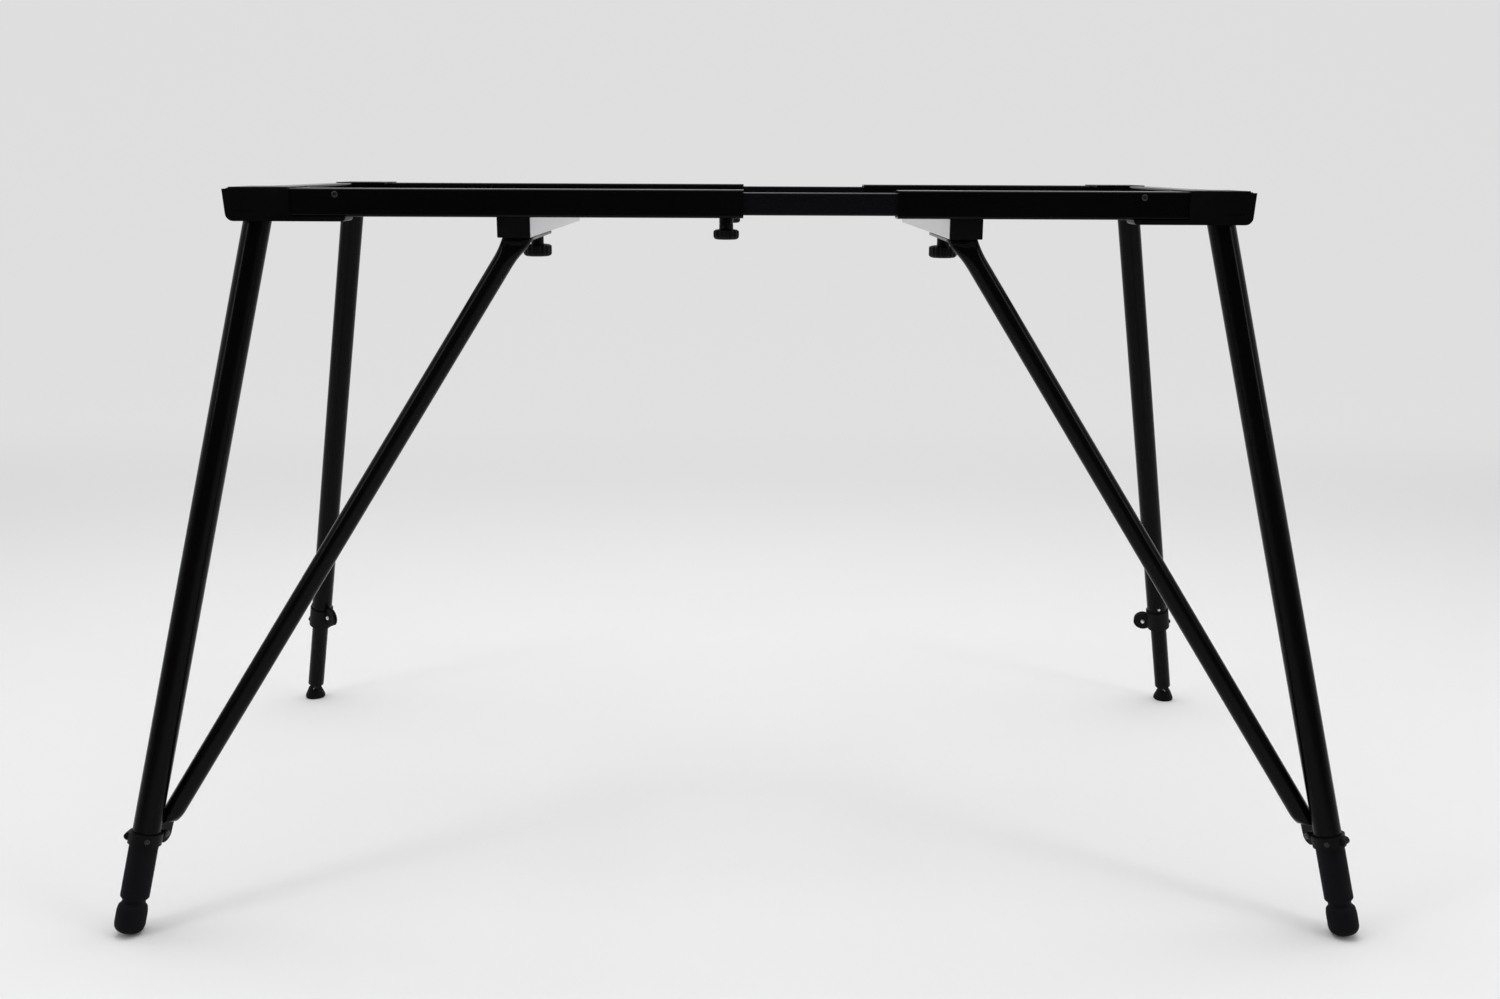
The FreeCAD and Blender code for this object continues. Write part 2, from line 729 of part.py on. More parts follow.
def boot(side):
    """The rubber boot of a near leg: sleeve, groove and a bulb that is rounded where it stands."""
    leg = Leg(side, ends["front"])
    top = near_band_bottom + boot_gap
    groove = boot_groove_start + boot_chamfer
    groove_end = groove + boot_groove_width
    bulb = groove_end + boot_chamfer
    lean = math.sqrt(1 - leg.down.z ** 2)
    flat_radius = boot_bulb_radius - boot_bottom_round
    round_height = boot_bottom_round + flat_radius * lean
    round_start = (corner_bottom - round_height) / -leg.down.z
    bend = math.sqrt(0.5)
    outline = [
        line((0, top + boot_bore_depth), (0, round_start + boot_bottom_round)),
        line((0, round_start + boot_bottom_round), (flat_radius, round_start + boot_bottom_round)),
        arc((flat_radius, round_start + boot_bottom_round),
            (flat_radius + boot_bottom_round * bend, round_start + boot_bottom_round * bend),
            (boot_bulb_radius, round_start)),
        line((boot_bulb_radius, round_start), (boot_bulb_radius, bulb + boot_bulb_swell)),
        line((boot_bulb_radius, bulb + boot_bulb_swell), (boot_bulb_start_radius, bulb)),
        line((boot_bulb_start_radius, bulb), (boot_groove_radius, groove_end)),
        line((boot_groove_radius, groove_end), (boot_groove_radius, groove)),
        line((boot_groove_radius, groove), (boot_radius, boot_groove_start)),
        line((boot_radius, boot_groove_start), (boot_radius, top)),
        line((boot_radius, top), (lower_radius + boot_bore_fit, top)),
        line((lower_radius + boot_bore_fit, top), (lower_radius + boot_bore_fit, top + boot_bore_depth)),
        line((lower_radius + boot_bore_fit, top + boot_bore_depth), (0, top + boot_bore_depth)),
    ]
    return place_turned(Part.Face(Part.Wire(outline)), leg.top, leg.down)


def leg_plug(side):
    """The threaded plug in the far lower tube's end."""
    leg = Leg(side, ends["rear"])
    outer = lower_radius - lower_wall - sleeve_fit
    flange = rod(leg.at(far_lower_end), leg.at(far_lower_end + plug_flange), lower_radius)
    face = leg.at(far_lower_end + plug_flange)
    rim = [e for e in flange.Edges if e.Closed and (e.CenterOfMass - face).Length < plug_edge]
    flange = flange.makeFillet(plug_edge, rim)
    body = flange.fuse(rod(leg.at(far_lower_end - plug_length), leg.at(far_lower_end + plug_flange / 2),
                           outer))
    return body.cut(rod(leg.at(far_lower_end - plug_length - overrun),
                        leg.at(far_lower_end + plug_flange + overrun),
                        stud_radius + pin_clearance))


def levelling_screw(side):
    """The levelling stud: a threaded shank, a thin neck and a ball."""
    leg = Leg(side, ends["rear"])
    ball_centre = leg.at_height(ball_height)
    neck_top = ball_centre - leg.down * stud_neck_reach
    shank = rod(leg.at(far_lower_end - stud_insert), neck_top, stud_radius)
    neck = rod(neck_top - leg.down * stud_neck_radius, ball_centre, stud_neck_radius)
    return Part.makeSphere(ball_radius, ball_centre).fuse([shank, neck])


def levelling_foot(side):
    """The cone-shaped foot with a ball socket that is open at the top."""
    centre = Leg(side, ends["rear"]).at_height(ball_height)
    base = Vector(centre.x, centre.y, 0)
    outline = [(0, 0), (levelling_foot_radius - levelling_foot_edge, 0),
               (levelling_foot_radius, levelling_foot_edge), (levelling_foot_radius, levelling_foot_rim),
               (levelling_foot_top_radius, levelling_foot_height), (0, levelling_foot_height)]
    body = revolve(outline, base, Vector(0, 0, 1))
    body = body.cut(Part.makeSphere(ball_radius + ball_clearance, centre))
    rise = levelling_foot_height - ball_height
    flare = levelling_foot_mouth_radius / rise
    cone = Part.makeCone(0, levelling_foot_mouth_radius + overrun * flare, rise + overrun, centre,
                         Vector(0, 0, 1))
    return body.cut(cone)


def crossbar(side):
    """A crossbar of rectangular tube under both rails, with holes for its screws and insert."""
    half = crossbar_width / 2
    x = side * crossbar_centre
    bar = box(x - half, x + half, -crossbar_half_length, crossbar_half_length, crossbar_bottom, rail_bottom)
    bar = round_along(bar, Vector(0, 1, 0), crossbar_edge_radius)
    inner = half - crossbar_wall
    bar = bar.cut(box(x - inner, x + inner, -crossbar_half_length - overrun, crossbar_half_length + overrun,
                      crossbar_bottom + crossbar_wall, rail_bottom - crossbar_wall))
    for end in ends.values():
        bar = bar.cut(crossbar_screw(side, end, thread_clearance))
    knob = Vector(x, -brace_knob_y, crossbar_bottom)
    up = Vector(0, 0, 1)
    return bar.cut(rod(knob - up * overrun, knob + up * (crossbar_wall + overrun),
                       insert_radius + thread_clearance))


def crossbar_cap(side, end):
    """The plastic cap and plug at a crossbar's end."""
    x = side * crossbar_centre
    half = crossbar_width / 2
    y0 = end * crossbar_half_length
    flange = box(x - half, x + half, y0, y0 + end * cap_flange, crossbar_bottom, rail_bottom)
    flange = round_along(flange, Vector(0, 1, 0), crossbar_edge_radius)
    plug_x = half - crossbar_wall - tongue_fit
    plug = box(x - plug_x, x + plug_x, y0 + end * cap_flange / 2, y0 - end * cap_plug_length,
               crossbar_bottom + crossbar_wall + tongue_fit, rail_bottom - crossbar_wall - tongue_fit)
    cap = flange.fuse(plug)
    room = crossbar_screw_head_radius + ear_clearance
    seat = Vector(x, end * rail_y, crossbar_bottom)
    return cap.cut(rod(seat, seat + Vector(0, 0, crossbar_height), room))


def crossbar_insert(side):
    """The threaded insert in a crossbar's lower wall."""
    seat = Vector(side * crossbar_centre, -brace_knob_y, crossbar_bottom)
    up = Vector(0, 0, 1)
    body = rod(seat, seat + up * insert_length, insert_radius)
    body = body.fuse(rod(seat + up * crossbar_wall, seat + up * (crossbar_wall + insert_flange),
                         insert_flange_radius))
    return body.cut(rod(seat - up * overrun, seat + up * (insert_length + overrun),
                        brace_bolt_radius + pin_clearance))


def section(centre, wide, thin, half_wide, half_thin):
    """A closed oval across a tube, wide along one direction and thin along another."""
    normal = wide.cross(thin)
    if math.isclose(half_wide, half_thin):
        edge = Part.Circle(Vector(0, 0, 0), Vector(0, 0, 1), half_wide).toShape()
    else:
        edge = Part.Ellipse(Vector(0, 0, 0), half_wide, half_thin).toShape()
    matrix = FreeCAD.Matrix(wide.x, thin.x, normal.x, centre.x, wide.y, thin.y, normal.y, centre.y,
                            wide.z, thin.z, normal.z, centre.z)
    edge.Placement = FreeCAD.Placement(matrix)
    return Part.Wire([edge])


def brace(side):
    """A brace: a round tube, pressed flat at the collar and at the strap under the crossbar."""
    leg = Leg(side, ends["front"])
    ear, bolt = ear_ways(leg)
    hole = leg.at(near_ear_centre) + ear * near_ear_offset + bolt * ((ear_thickness + strap_thickness) / 2)
    corner = Vector(side * crossbar_centre, -brace_bend_y, strap_z)
    up_way = unit(corner - hole)
    back = Vector(0, 1, 0)
    across = Vector(1, 0, 0)
    # The round part
    low = hole + up_way * (lower_flat_reach + lower_taper)
    high = corner - up_way * bend_reach
    wide_low = unit(up_way.cross(bolt))
    thin_low = unit(wide_low.cross(up_way))
    wide_high = unit(across - up_way * across.dot(up_way))
    thin_high = unit(wide_high.cross(up_way))
    body = tube(low, high, brace_radius, brace_wall)
    # The flat lower end, turned into the plane of the ear
    flat_way = unit(up_way - bolt * up_way.dot(bolt))
    flat_wide = unit(flat_way.cross(bolt))
    flat_start = hole + flat_way * lower_flat_reach
    disc = rod(hole - bolt * (strap_thickness / 2), hole + bolt * (strap_thickness / 2), brace_end_radius)
    plate = block(hole + flat_way * (lower_flat_reach / 2), flat_way, flat_wide, bolt,
                  lower_flat_reach, brace_end_radius * 2, strap_thickness)
    thin_flat = unit(flat_wide.cross(flat_way))
    taper = Part.makeLoft([
        section(low, wide_low, thin_low, brace_radius, brace_radius),
        section(low + (flat_start - low) * taper_middle_share, wide_low, thin_low,
                brace_radius * taper_wide_share, brace_radius * taper_thin_share),
        section(flat_start, flat_wide, thin_flat, brace_end_radius, strap_thickness / 2)], True, False)
    # The bend under the crossbar and the strap that runs back to the knob
    strap_start = corner + back * strap_start_gap
    middle_way = unit(up_way + back)
    middle = corner - up_way * (bend_middle_reach * bend_down_share)
    middle = middle + back * (bend_middle_reach * bend_back_share)
    middle = middle - Vector(0, 0, brace_radius * bend_sink_share)
    wide_middle = unit(across - middle_way * across.dot(middle_way))
    thin_middle = unit(wide_middle.cross(middle_way))
    thin_strap = unit(across.cross(back))
    bend = Part.makeLoft([
        section(high, wide_high, thin_high, brace_radius, brace_radius),
        section(middle, wide_middle, thin_middle, brace_radius * bend_wide_share,
                brace_radius * bend_thin_share),
        section(strap_start, across, thin_strap, strap_half_width, strap_thickness / 2)], True, False)
    knob = Vector(corner.x, -brace_knob_y, strap_z)
    strap = block((strap_start + knob) / 2, back, across, Vector(0, 0, 1),
                  (knob - strap_start).Length, strap_half_width * 2, strap_thickness)
    down = Vector(0, 0, strap_thickness / 2)
    tip = rod(knob - down, knob + down, strap_half_width)
    body = body.fuse([disc, plate, taper, bend, strap, tip])
    # A notch beside the leg and the collar's band
    notch = rod(leg.at(near_lower_top), leg.at(near_band_bottom + brace_end_radius * 2),
                near_band_radius + brace_notch_gap)
    body = body.cut(notch)
    body = body.cut(rod(hole - bolt * strap_thickness, hole + bolt * strap_thickness,
                        collar_bolt_radius + bolt_clearance))
    body = body.cut(rod(knob - down * 2, knob + down * 2, brace_bolt_radius + bolt_clearance))
    return body


def fluted_head(bottom, radius, height):
    """A knob's head: a disc with rounded edges and shallow flutes round its rim."""
    up = Vector(0, 0, 1)
    head = rod(bottom, bottom + up * height, radius)
    rims = [e for e in head.Edges if e.Closed]
    head = head.makeFillet(radius * knob_edge_share, rims)
    flute = radius * knob_flute_radius_share
    for i in range(knob_flutes):
        angle = 2 * math.pi * i / knob_flutes
        spot = bottom + Vector(math.cos(angle), math.sin(angle), 0) * (radius + flute * knob_flute_out_share)
        head = head.cut(rod(spot - up * overrun, spot + up * (height + overrun), flute))
    return head


def knob(x, y, seat, radius, head, neck_radius, neck, bolt_radius):
    """A clamp knob under a seat height, with the bore that its bolt is moulded into."""
    up = Vector(0, 0, 1)
    top = Vector(x, y, seat - knob_gap)
    under = top - up * neck
    body = rod(under - up * (head / 2), top, neck_radius).fuse(fluted_head(under - up * head, radius, head))
    depth = neck + head * knob_bolt_depth_share
    return body.cut(rod(top - up * depth, top + up * overrun, bolt_radius))


def knob_bolt(x, y, seat, neck, head, top_z, bolt_radius):
    """The bolt that is moulded into a knob."""
    bottom = Vector(x, y, seat - knob_gap - neck - head * knob_bolt_depth_share)
    return rod(bottom, Vector(x, y, top_z), bolt_radius)


def build():
    """Makes every node of the stand."""
    for side_name, side in sides.items():
        for end_name, end in ends.items():
            place = end_name + "_" + side_name
            save("rail_" + place, outer_rail(side, end))
            save("corner_" + place, corner_moulding(side, end))
            save("leg_" + place, upper_leg(side, end))
            save("lower_leg_" + place, lower_leg(side, end))
        save("end_rail_" + side_name, end_rail(side))
        save("guide_bushes_" + side_name, *[guide_bush(side, end) for end in ends.values()])
        save("corner_screws_" + side_name, *[corner_screw(side, end, 0) for end in ends.values()])
        save("leg_pins_" + side_name, *[leg_pin(side, end) for end in ends.values()])
        save("crossbar_" + side_name, crossbar(side))
        save("crossbar_caps_" + side_name, *[crossbar_cap(side, end) for end in ends.values()])
        save("crossbar_screws_" + side_name, *[crossbar_screw(side, end, 0) for end in ends.values()])
        save("crossbar_insert_" + side_name, crossbar_insert(side))
        save("brace_collar_" + side_name, collar(side, ends["front"]))
        save("brace_fasteners_" + side_name, *collar_bolt(side, ends["front"]))
        save("brace_" + side_name, brace(side))
        save("boot_" + side_name, boot(side))
        save("clamp_collar_" + side_name, collar(side, ends["rear"]))
        save("clamp_fasteners_" + side_name, *collar_bolt(side, ends["rear"]))
        save("leg_plug_" + side_name, leg_plug(side))
        save("levelling_screw_" + side_name, levelling_screw(side))
        save("levelling_foot_" + side_name, levelling_foot(side))
        x = side * crossbar_centre
        seat = crossbar_bottom - strap_thickness
        save("brace_knob_" + side_name, knob(x, -brace_knob_y, seat, brace_knob_radius, brace_knob_head,
                                             brace_knob_neck_radius, brace_knob_neck, brace_bolt_radius))
        save("brace_knob_bolt_" + side_name, knob_bolt(x, -brace_knob_y, seat, brace_knob_neck,
                                                       brace_knob_head,
                                                       crossbar_bottom + brace_bolt_reach, brace_bolt_radius))
    for end_name, end in ends.items():
        save("slide_tube_" + end_name, slide_tube(end))
        seat = rail_bottom - rail_boss_height
        tip = rail_centre_z - slide_size / 2 - rail_bolt_gap
        save("rail_knob_" + end_name, knob(-rail_knob_x, end * rail_y, seat, rail_knob_radius, rail_knob_head,
                                           rail_knob_neck_radius, rail_knob_neck, rail_bolt_radius))
        save("rail_knob_bolt_" + end_name, knob_bolt(-rail_knob_x, end * rail_y, seat, rail_knob_neck,
                                                     rail_knob_head,
                                                     tip, rail_bolt_radius))


build()
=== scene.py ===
# %% [markdown]
# # A keyboard stand, dressed for the camera
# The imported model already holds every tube, moulding and screw in its right place. This lesson
# puts the finishes on them, works out the rounder pieces as surfaces, and sets up the studio.
# Everything is in metres, with the floor at Z = 0, +X to the right and +Y away from the camera.

import json
import math

import bmesh
import bpy
import numpy as np
from mathutils import Matrix, Vector


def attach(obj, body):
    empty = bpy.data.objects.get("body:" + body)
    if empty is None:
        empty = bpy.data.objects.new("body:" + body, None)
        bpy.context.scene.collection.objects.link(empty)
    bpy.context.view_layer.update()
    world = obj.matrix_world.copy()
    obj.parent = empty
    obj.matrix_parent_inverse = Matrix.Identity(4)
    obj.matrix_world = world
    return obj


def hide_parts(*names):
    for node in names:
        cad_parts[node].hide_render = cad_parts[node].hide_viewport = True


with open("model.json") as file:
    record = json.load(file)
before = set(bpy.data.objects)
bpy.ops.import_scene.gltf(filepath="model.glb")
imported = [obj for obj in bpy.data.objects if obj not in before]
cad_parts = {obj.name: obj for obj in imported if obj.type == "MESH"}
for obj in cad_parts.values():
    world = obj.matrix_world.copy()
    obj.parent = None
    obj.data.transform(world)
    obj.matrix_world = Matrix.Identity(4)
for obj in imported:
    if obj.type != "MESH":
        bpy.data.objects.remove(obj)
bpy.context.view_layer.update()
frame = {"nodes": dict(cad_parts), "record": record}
nodes = frame["nodes"]

# %% [markdown]
# ## The camera
# The stand's straight tubes fix the photograph's perspective: where the rails, the crossbars and
# the four feet meet the picture gives one place for the lens. A Blender camera looks along its own
# -Z, so it is first stood upright, then pitched down, turned a little and rolled a little.

# %% Place the camera
camera_place = (0.00457, -1.8887, 0.8948)
pitch, turn, roll = 0.235, 0.005, 0.00443
camera = bpy.data.objects.new("camera", bpy.data.cameras.new("camera"))
bpy.context.scene.collection.objects.link(camera)
camera.data.sensor_width = 36.0
camera.data.lens = 33.6
camera.data.clip_end = 60.0
camera.matrix_world = (Matrix.Translation(camera_place)
                       @ Matrix.Rotation(-turn, 4, "Z")
                       @ Matrix.Rotation(math.pi / 2 - pitch, 4, "X")
                       @ Matrix.Rotation(roll, 4, "Z"))
bpy.context.scene.camera = camera
bpy.context.scene.view_settings.view_transform = "Standard"
print("camera lens", camera.data.lens, "mm")

# %% [markdown]
# ## Materials: the shared effects
# Paint, plastic and rubber all show the same few things in different amounts: a fine surface
# texture, cloudy differences in gloss, and dust that settles on what faces up. Each effect is a
# node group that puts out only values and normals, so every finish can use it with its own amounts.


# %% Helpers that build node trees
def add_node(tree, kind, values=None, **links):
    """Adds a node, sets its inputs from values and links the inputs named in links."""
    node = tree.nodes.new(kind)
    for key, value in (values or {}).items():
        if hasattr(node, key):
            setattr(node, key, value)
        else:
            node.inputs[key].default_value = value
    for key, source in links.items():
        tree.links.new(source, node.inputs[key.replace("_", " ")])
    return node


def combine(tree, operation, first, second):
    """Two values multiplied, or the larger of the two, as the output of a maths node."""
    node = add_node(tree, "ShaderNodeMath", {"operation": operation})
    tree.links.new(first, node.inputs[0])
    tree.links.new(second, node.inputs[1])
    return node.outputs["Value"]


def mix_colours(tree, share, first, second):
    """Blends from a first to a second colour by a share. A colour is three numbers or an output. The
    node keeps its colours in inputs 6 and 7 and its result in output 2."""
    node = add_node(tree, "ShaderNodeMix", {"data_type": "RGBA"})
    tree.links.new(share, node.inputs[0])
    for socket, colour in ((node.inputs[6], first), (node.inputs[7], second)):
        if isinstance(colour, bpy.types.NodeSocket):
            tree.links.new(colour, socket)
        else:
            socket.default_value = (*colour, 1.0)
    return node.outputs[2]


def effect_group(name, inputs, outputs):
    """Starts a node group with named float, vector or colour sockets."""
    group = bpy.data.node_groups.new(name, "ShaderNodeTree")
    for socket, kind, default in inputs:
        item = group.interface.new_socket(socket, in_out="INPUT", socket_type=kind)
        if default is not None:
            item.default_value = default
    for socket, kind in outputs:
        group.interface.new_socket(socket, in_out="OUTPUT", socket_type=kind)
    return group, group.nodes.new("NodeGroupInput"), group.nodes.new("NodeGroupOutput")


# %% Fine texture: a bump from noise
texture_group, g_in, g_out = effect_group(
    "fine texture",
    [("Vector", "NodeSocketVector", None), ("Scale", "NodeSocketFloat", 600.0),
     ("Depth", "NodeSocketFloat", 0.00005)],
    [("Normal", "NodeSocketVector")])
fine = add_node(texture_group, "ShaderNodeTexNoise", {"Detail": 3.0, "Roughness": 0.5},
                Vector=g_in.outputs["Vector"], Scale=g_in.outputs["Scale"])
bump = add_node(texture_group, "ShaderNodeBump", {"Strength": 1.0}, Height=fine.outputs["Fac"],
                Distance=g_in.outputs["Depth"])
texture_group.links.new(bump.outputs["Normal"], g_out.inputs["Normal"])

# %% Cloudy gloss: a slow noise that spreads a value about its middle
cloud_group, g_in, g_out = effect_group(
    "cloudy gloss",
    [("Vector", "NodeSocketVector", None), ("Scale", "NodeSocketFloat", 14.0),
     ("Low", "NodeSocketFloat", 0.2), ("High", "NodeSocketFloat", 0.4)],
    [("Value", "NodeSocketFloat"), ("Mask", "NodeSocketFloat")])
cloud = add_node(cloud_group, "ShaderNodeTexNoise", {"Detail": 5.0, "Roughness": 0.62},
                 Vector=g_in.outputs["Vector"], Scale=g_in.outputs["Scale"])
spread = add_node(cloud_group, "ShaderNodeMapRange", {"From Min": 0.3, "From Max": 0.7},
                  Value=cloud.outputs["Fac"], To_Min=g_in.outputs["Low"], To_Max=g_in.outputs["High"])
cloud_group.links.new(spread.outputs["Result"], g_out.inputs["Value"])
cloud_group.links.new(cloud.outputs["Fac"], g_out.inputs["Mask"])

# %% Dust: a thin layer, thicker where the surface faces up, broken by noise
dust_group, g_in, g_out = effect_group(
    "settled dust",
    [("Vector", "NodeSocketVector", None), ("Amount", "NodeSocketFloat", 0.1)],
    [("Mask", "NodeSocketFloat")])
facing = add_node(dust_group, "ShaderNodeNewGeometry")
up_part = add_node(dust_group, "ShaderNodeSeparateXYZ", None, Vector=facing.outputs["Normal"])
up_mask = add_node(dust_group, "ShaderNodeMapRange", {"From Min": 0.2, "From Max": 1.0, "To Min": 0.12},
                   Value=up_part.outputs["Z"])
specks = add_node(dust_group, "ShaderNodeTexNoise", {"Scale": 900.0, "Detail": 2.0, "Roughness": 0.7},
                  Vector=g_in.outputs["Vector"])
speck_mask = add_node(dust_group, "ShaderNodeMapRange",
                      {"From Min": 0.5, "From Max": 0.75, "To Min": 0.25}, Value=specks.outputs["Fac"])
layer = combine(dust_group, "MULTIPLY", up_mask.outputs["Result"], speck_mask.outputs["Result"])
dust_group.links.new(combine(dust_group, "MULTIPLY", layer, g_in.outputs["Amount"]), g_out.inputs["Mask"])
print("effect groups:", texture_group.name, "|", cloud_group.name, "|", dust_group.name)

# %% [markdown]
# ## One recipe for the finishes
# A finish is a Principled shader with plain numbers on its own sockets for what doesn't vary, and
# the groups above for what does. The pattern can be stretched along the way a tube was drawn or a
# bar was extruded, which turns round specks into fine lines.

# %% Build a finish
dust_colour = (0.30, 0.29, 0.28)


def finish_material(name, colours, roughness, texture, dust, specular=0.5, metallic=0.0,
                    stretch=(1.0, 1.0, 1.0), cloud_scale=14.0):
    """A finish from a dark and a light colour, a roughness range, the scale and depth of its fine
    texture and an amount of dust."""
    material = bpy.data.materials.new(name)
    material.use_nodes = True
    tree = material.node_tree
    shader = tree.nodes["Principled BSDF"]
    place = add_node(tree, "ShaderNodeTexCoord")
    mapping = add_node(tree, "ShaderNodeMapping", {"Scale": stretch}, Vector=place.outputs["Object"])
    gloss = add_node(tree, "ShaderNodeGroup", {"node_tree": cloud_group})
    gloss.inputs["Scale"].default_value = cloud_scale
    gloss.inputs["Low"].default_value, gloss.inputs["High"].default_value = roughness
    grain = add_node(tree, "ShaderNodeGroup", {"node_tree": texture_group})
    grain.inputs["Scale"].default_value, grain.inputs["Depth"].default_value = texture
    film = add_node(tree, "ShaderNodeGroup", {"node_tree": dust_group})
    film.inputs["Amount"].default_value = dust
    for effect in (gloss, grain):
        tree.links.new(mapping.outputs["Vector"], effect.inputs["Vector"])
    tree.links.new(place.outputs["Object"], film.inputs["Vector"])
    clean = mix_colours(tree, gloss.outputs["Mask"], *colours)
    tree.links.new(mix_colours(tree, film.outputs["Mask"], clean, dust_colour), shader.inputs["Base Color"])
    tree.links.new(gloss.outputs["Value"], shader.inputs["Roughness"])
    tree.links.new(grain.outputs["Normal"], shader.inputs["Normal"])
    shader.inputs["Metallic"].default_value = metallic
    shader.inputs["Specular IOR Level"].default_value = specular
    return material


# %% The stand's finishes
gloss_black = ((0.0014, 0.0014, 0.0018), (0.0028, 0.0028, 0.0036))
# Textures, each as a scale and a depth
sprayed, drawn, turned = (420.0, 0.00006), (900.0, 0.00005), (1800.0, 0.00003)
moulded, rough_moulded = (1600.0, 0.00005), (1600.0, 0.00006)
finishes = {
    "frame_paint": finish_material(
        "frame paint", gloss_black, (0.10, 0.22), sprayed, 0.012, specular=0.08, stretch=(0.25, 1.0, 1.0)),
    "slide_paint": finish_material(
        "slide paint", ((0.0016, 0.0016, 0.0024), (0.0042, 0.0042, 0.0060)), (0.14, 0.32), drawn, 0.012,
        specular=0.14, stretch=(0.03, 1.0, 1.0)),
    "leg_paint": finish_material(
        "leg paint", gloss_black, (0.12, 0.26), sprayed, 0.012, specular=0.07, stretch=(1.0, 1.0, 0.25)),
    "lower_paint": finish_material(
        "lower tube paint", ((0.0022, 0.0021, 0.0022), (0.0050, 0.0047, 0.0050)), (0.18, 0.36), drawn, 0.012,
        specular=0.07, stretch=(1.0, 1.0, 0.04)),
    "brace_paint": finish_material(
        "brace paint", gloss_black, (0.12, 0.26), sprayed, 0.012, specular=0.08),
    "zinc": finish_material(
        "bright zinc", ((0.74, 0.74, 0.75), (0.86, 0.86, 0.86)), (0.34, 0.48), turned, 0.0,
        metallic=0.75, cloud_scale=120.0),
    "black_zinc": finish_material(
        "black zinc", ((0.006, 0.006, 0.007), (0.012, 0.012, 0.013)), (0.24, 0.38), turned, 0.01,
        specular=0.45, cloud_scale=120.0),
    "collar_plastic": finish_material(
        "collar plastic", ((0.0026, 0.0023, 0.0025), (0.0048, 0.0043, 0.0046)), (0.42, 0.58), rough_moulded,
        0.02, specular=0.08, cloud_scale=40.0),
    "knob_plastic": finish_material(
        "knob plastic", ((0.0014, 0.0014, 0.0016), (0.0028, 0.0028, 0.0032)), (0.36, 0.50), moulded, 0.015,
        specular=0.1, cloud_scale=40.0),
    "corner_plastic": finish_material(
        "corner plastic", ((0.0012, 0.0012, 0.0014), (0.0026, 0.0026, 0.0030)), (0.26, 0.40),
        (1400.0, 0.00007), 0.02, specular=0.08, cloud_scale=25.0),
    "bush_plastic": finish_material(
        "bush plastic", ((0.0040, 0.0040, 0.0044), (0.0080, 0.0080, 0.0086)), (0.40, 0.55), moulded, 0.01,
        specular=0.20, cloud_scale=40.0),
    "cap_plastic": finish_material(
        "cap plastic", ((0.0018, 0.0018, 0.0022), (0.0036, 0.0036, 0.0044)), (0.36, 0.50), moulded, 0.015,
        specular=0.08, cloud_scale=40.0),
    "brass": finish_material(
        "turned brass", ((0.60, 0.44, 0.20), (0.74, 0.56, 0.28)), (0.25, 0.38), (1500.0, 0.00003), 0.0,
        metallic=1.0, cloud_scale=60.0),
    "crossbar_aluminium": finish_material(
        "satin aluminium", ((0.62, 0.62, 0.63), (0.72, 0.72, 0.73)), (0.30, 0.42), (2400.0, 0.00003), 0.01,
        metallic=0.9, stretch=(1.0, 0.012, 1.0), cloud_scale=60.0),
    "boot_rubber": finish_material(
        "boot rubber", ((0.0028, 0.0026, 0.0038), (0.0052, 0.0048, 0.0068)), (0.60, 0.78),
        (1300.0, 0.00009), 0.03, specular=0.08, cloud_scale=50.0),
    "plug_plastic": finish_material(
        "plug plastic", ((0.0018, 0.0018, 0.0020), (0.0036, 0.0036, 0.0040)), (0.40, 0.55), moulded, 0.01,
        specular=0.08, cloud_scale=40.0),
    "pad_plastic": finish_material(
        "pad plastic", ((0.0022, 0.0022, 0.0024), (0.0046, 0.0046, 0.0050)), (0.45, 0.62), rough_moulded,
        0.03, specular=0.08, cloud_scale=40.0),
}
slot_of = {part["node"]: part["material_slot"] for part in frame["record"]["subparts"]}
for name, obj in nodes.items():
    obj.data.materials.clear()
    obj.data.materials.append(finishes[slot_of[name]])
print("finishes:", len(finishes), "on", len(nodes), "nodes")

# %% [markdown]
# ## Surfaces from two parameters
# Knobs, boots, feet and screws are turned shapes, and the braces are a section carried along a path.
# Both are a grid of points, worked out as one array, with quads between neighbours. A grid that
# closes on itself is wrapped, and rows that shrink to a point are merged into a closed pole.


# %% Helpers for surfaces
def unit(vector):
    """The vector divided by its length."""
    vector = np.asarray(vector, float)
    return vector / np.linalg.norm(vector)


def shaded_piece(name, mesh, sharp_degrees):
    """Links an object with a mesh that is shaded smooth up to an angle between its faces."""
    mesh.polygons.foreach_set("use_smooth", [True] * len(mesh.polygons))
    mesh.set_sharp_from_angle(angle=math.radians(sharp_degrees))
    piece = bpy.data.objects.new(name, mesh)
    bpy.context.scene.collection.objects.link(piece)
    print(name, len(mesh.polygons), "faces")
    return piece


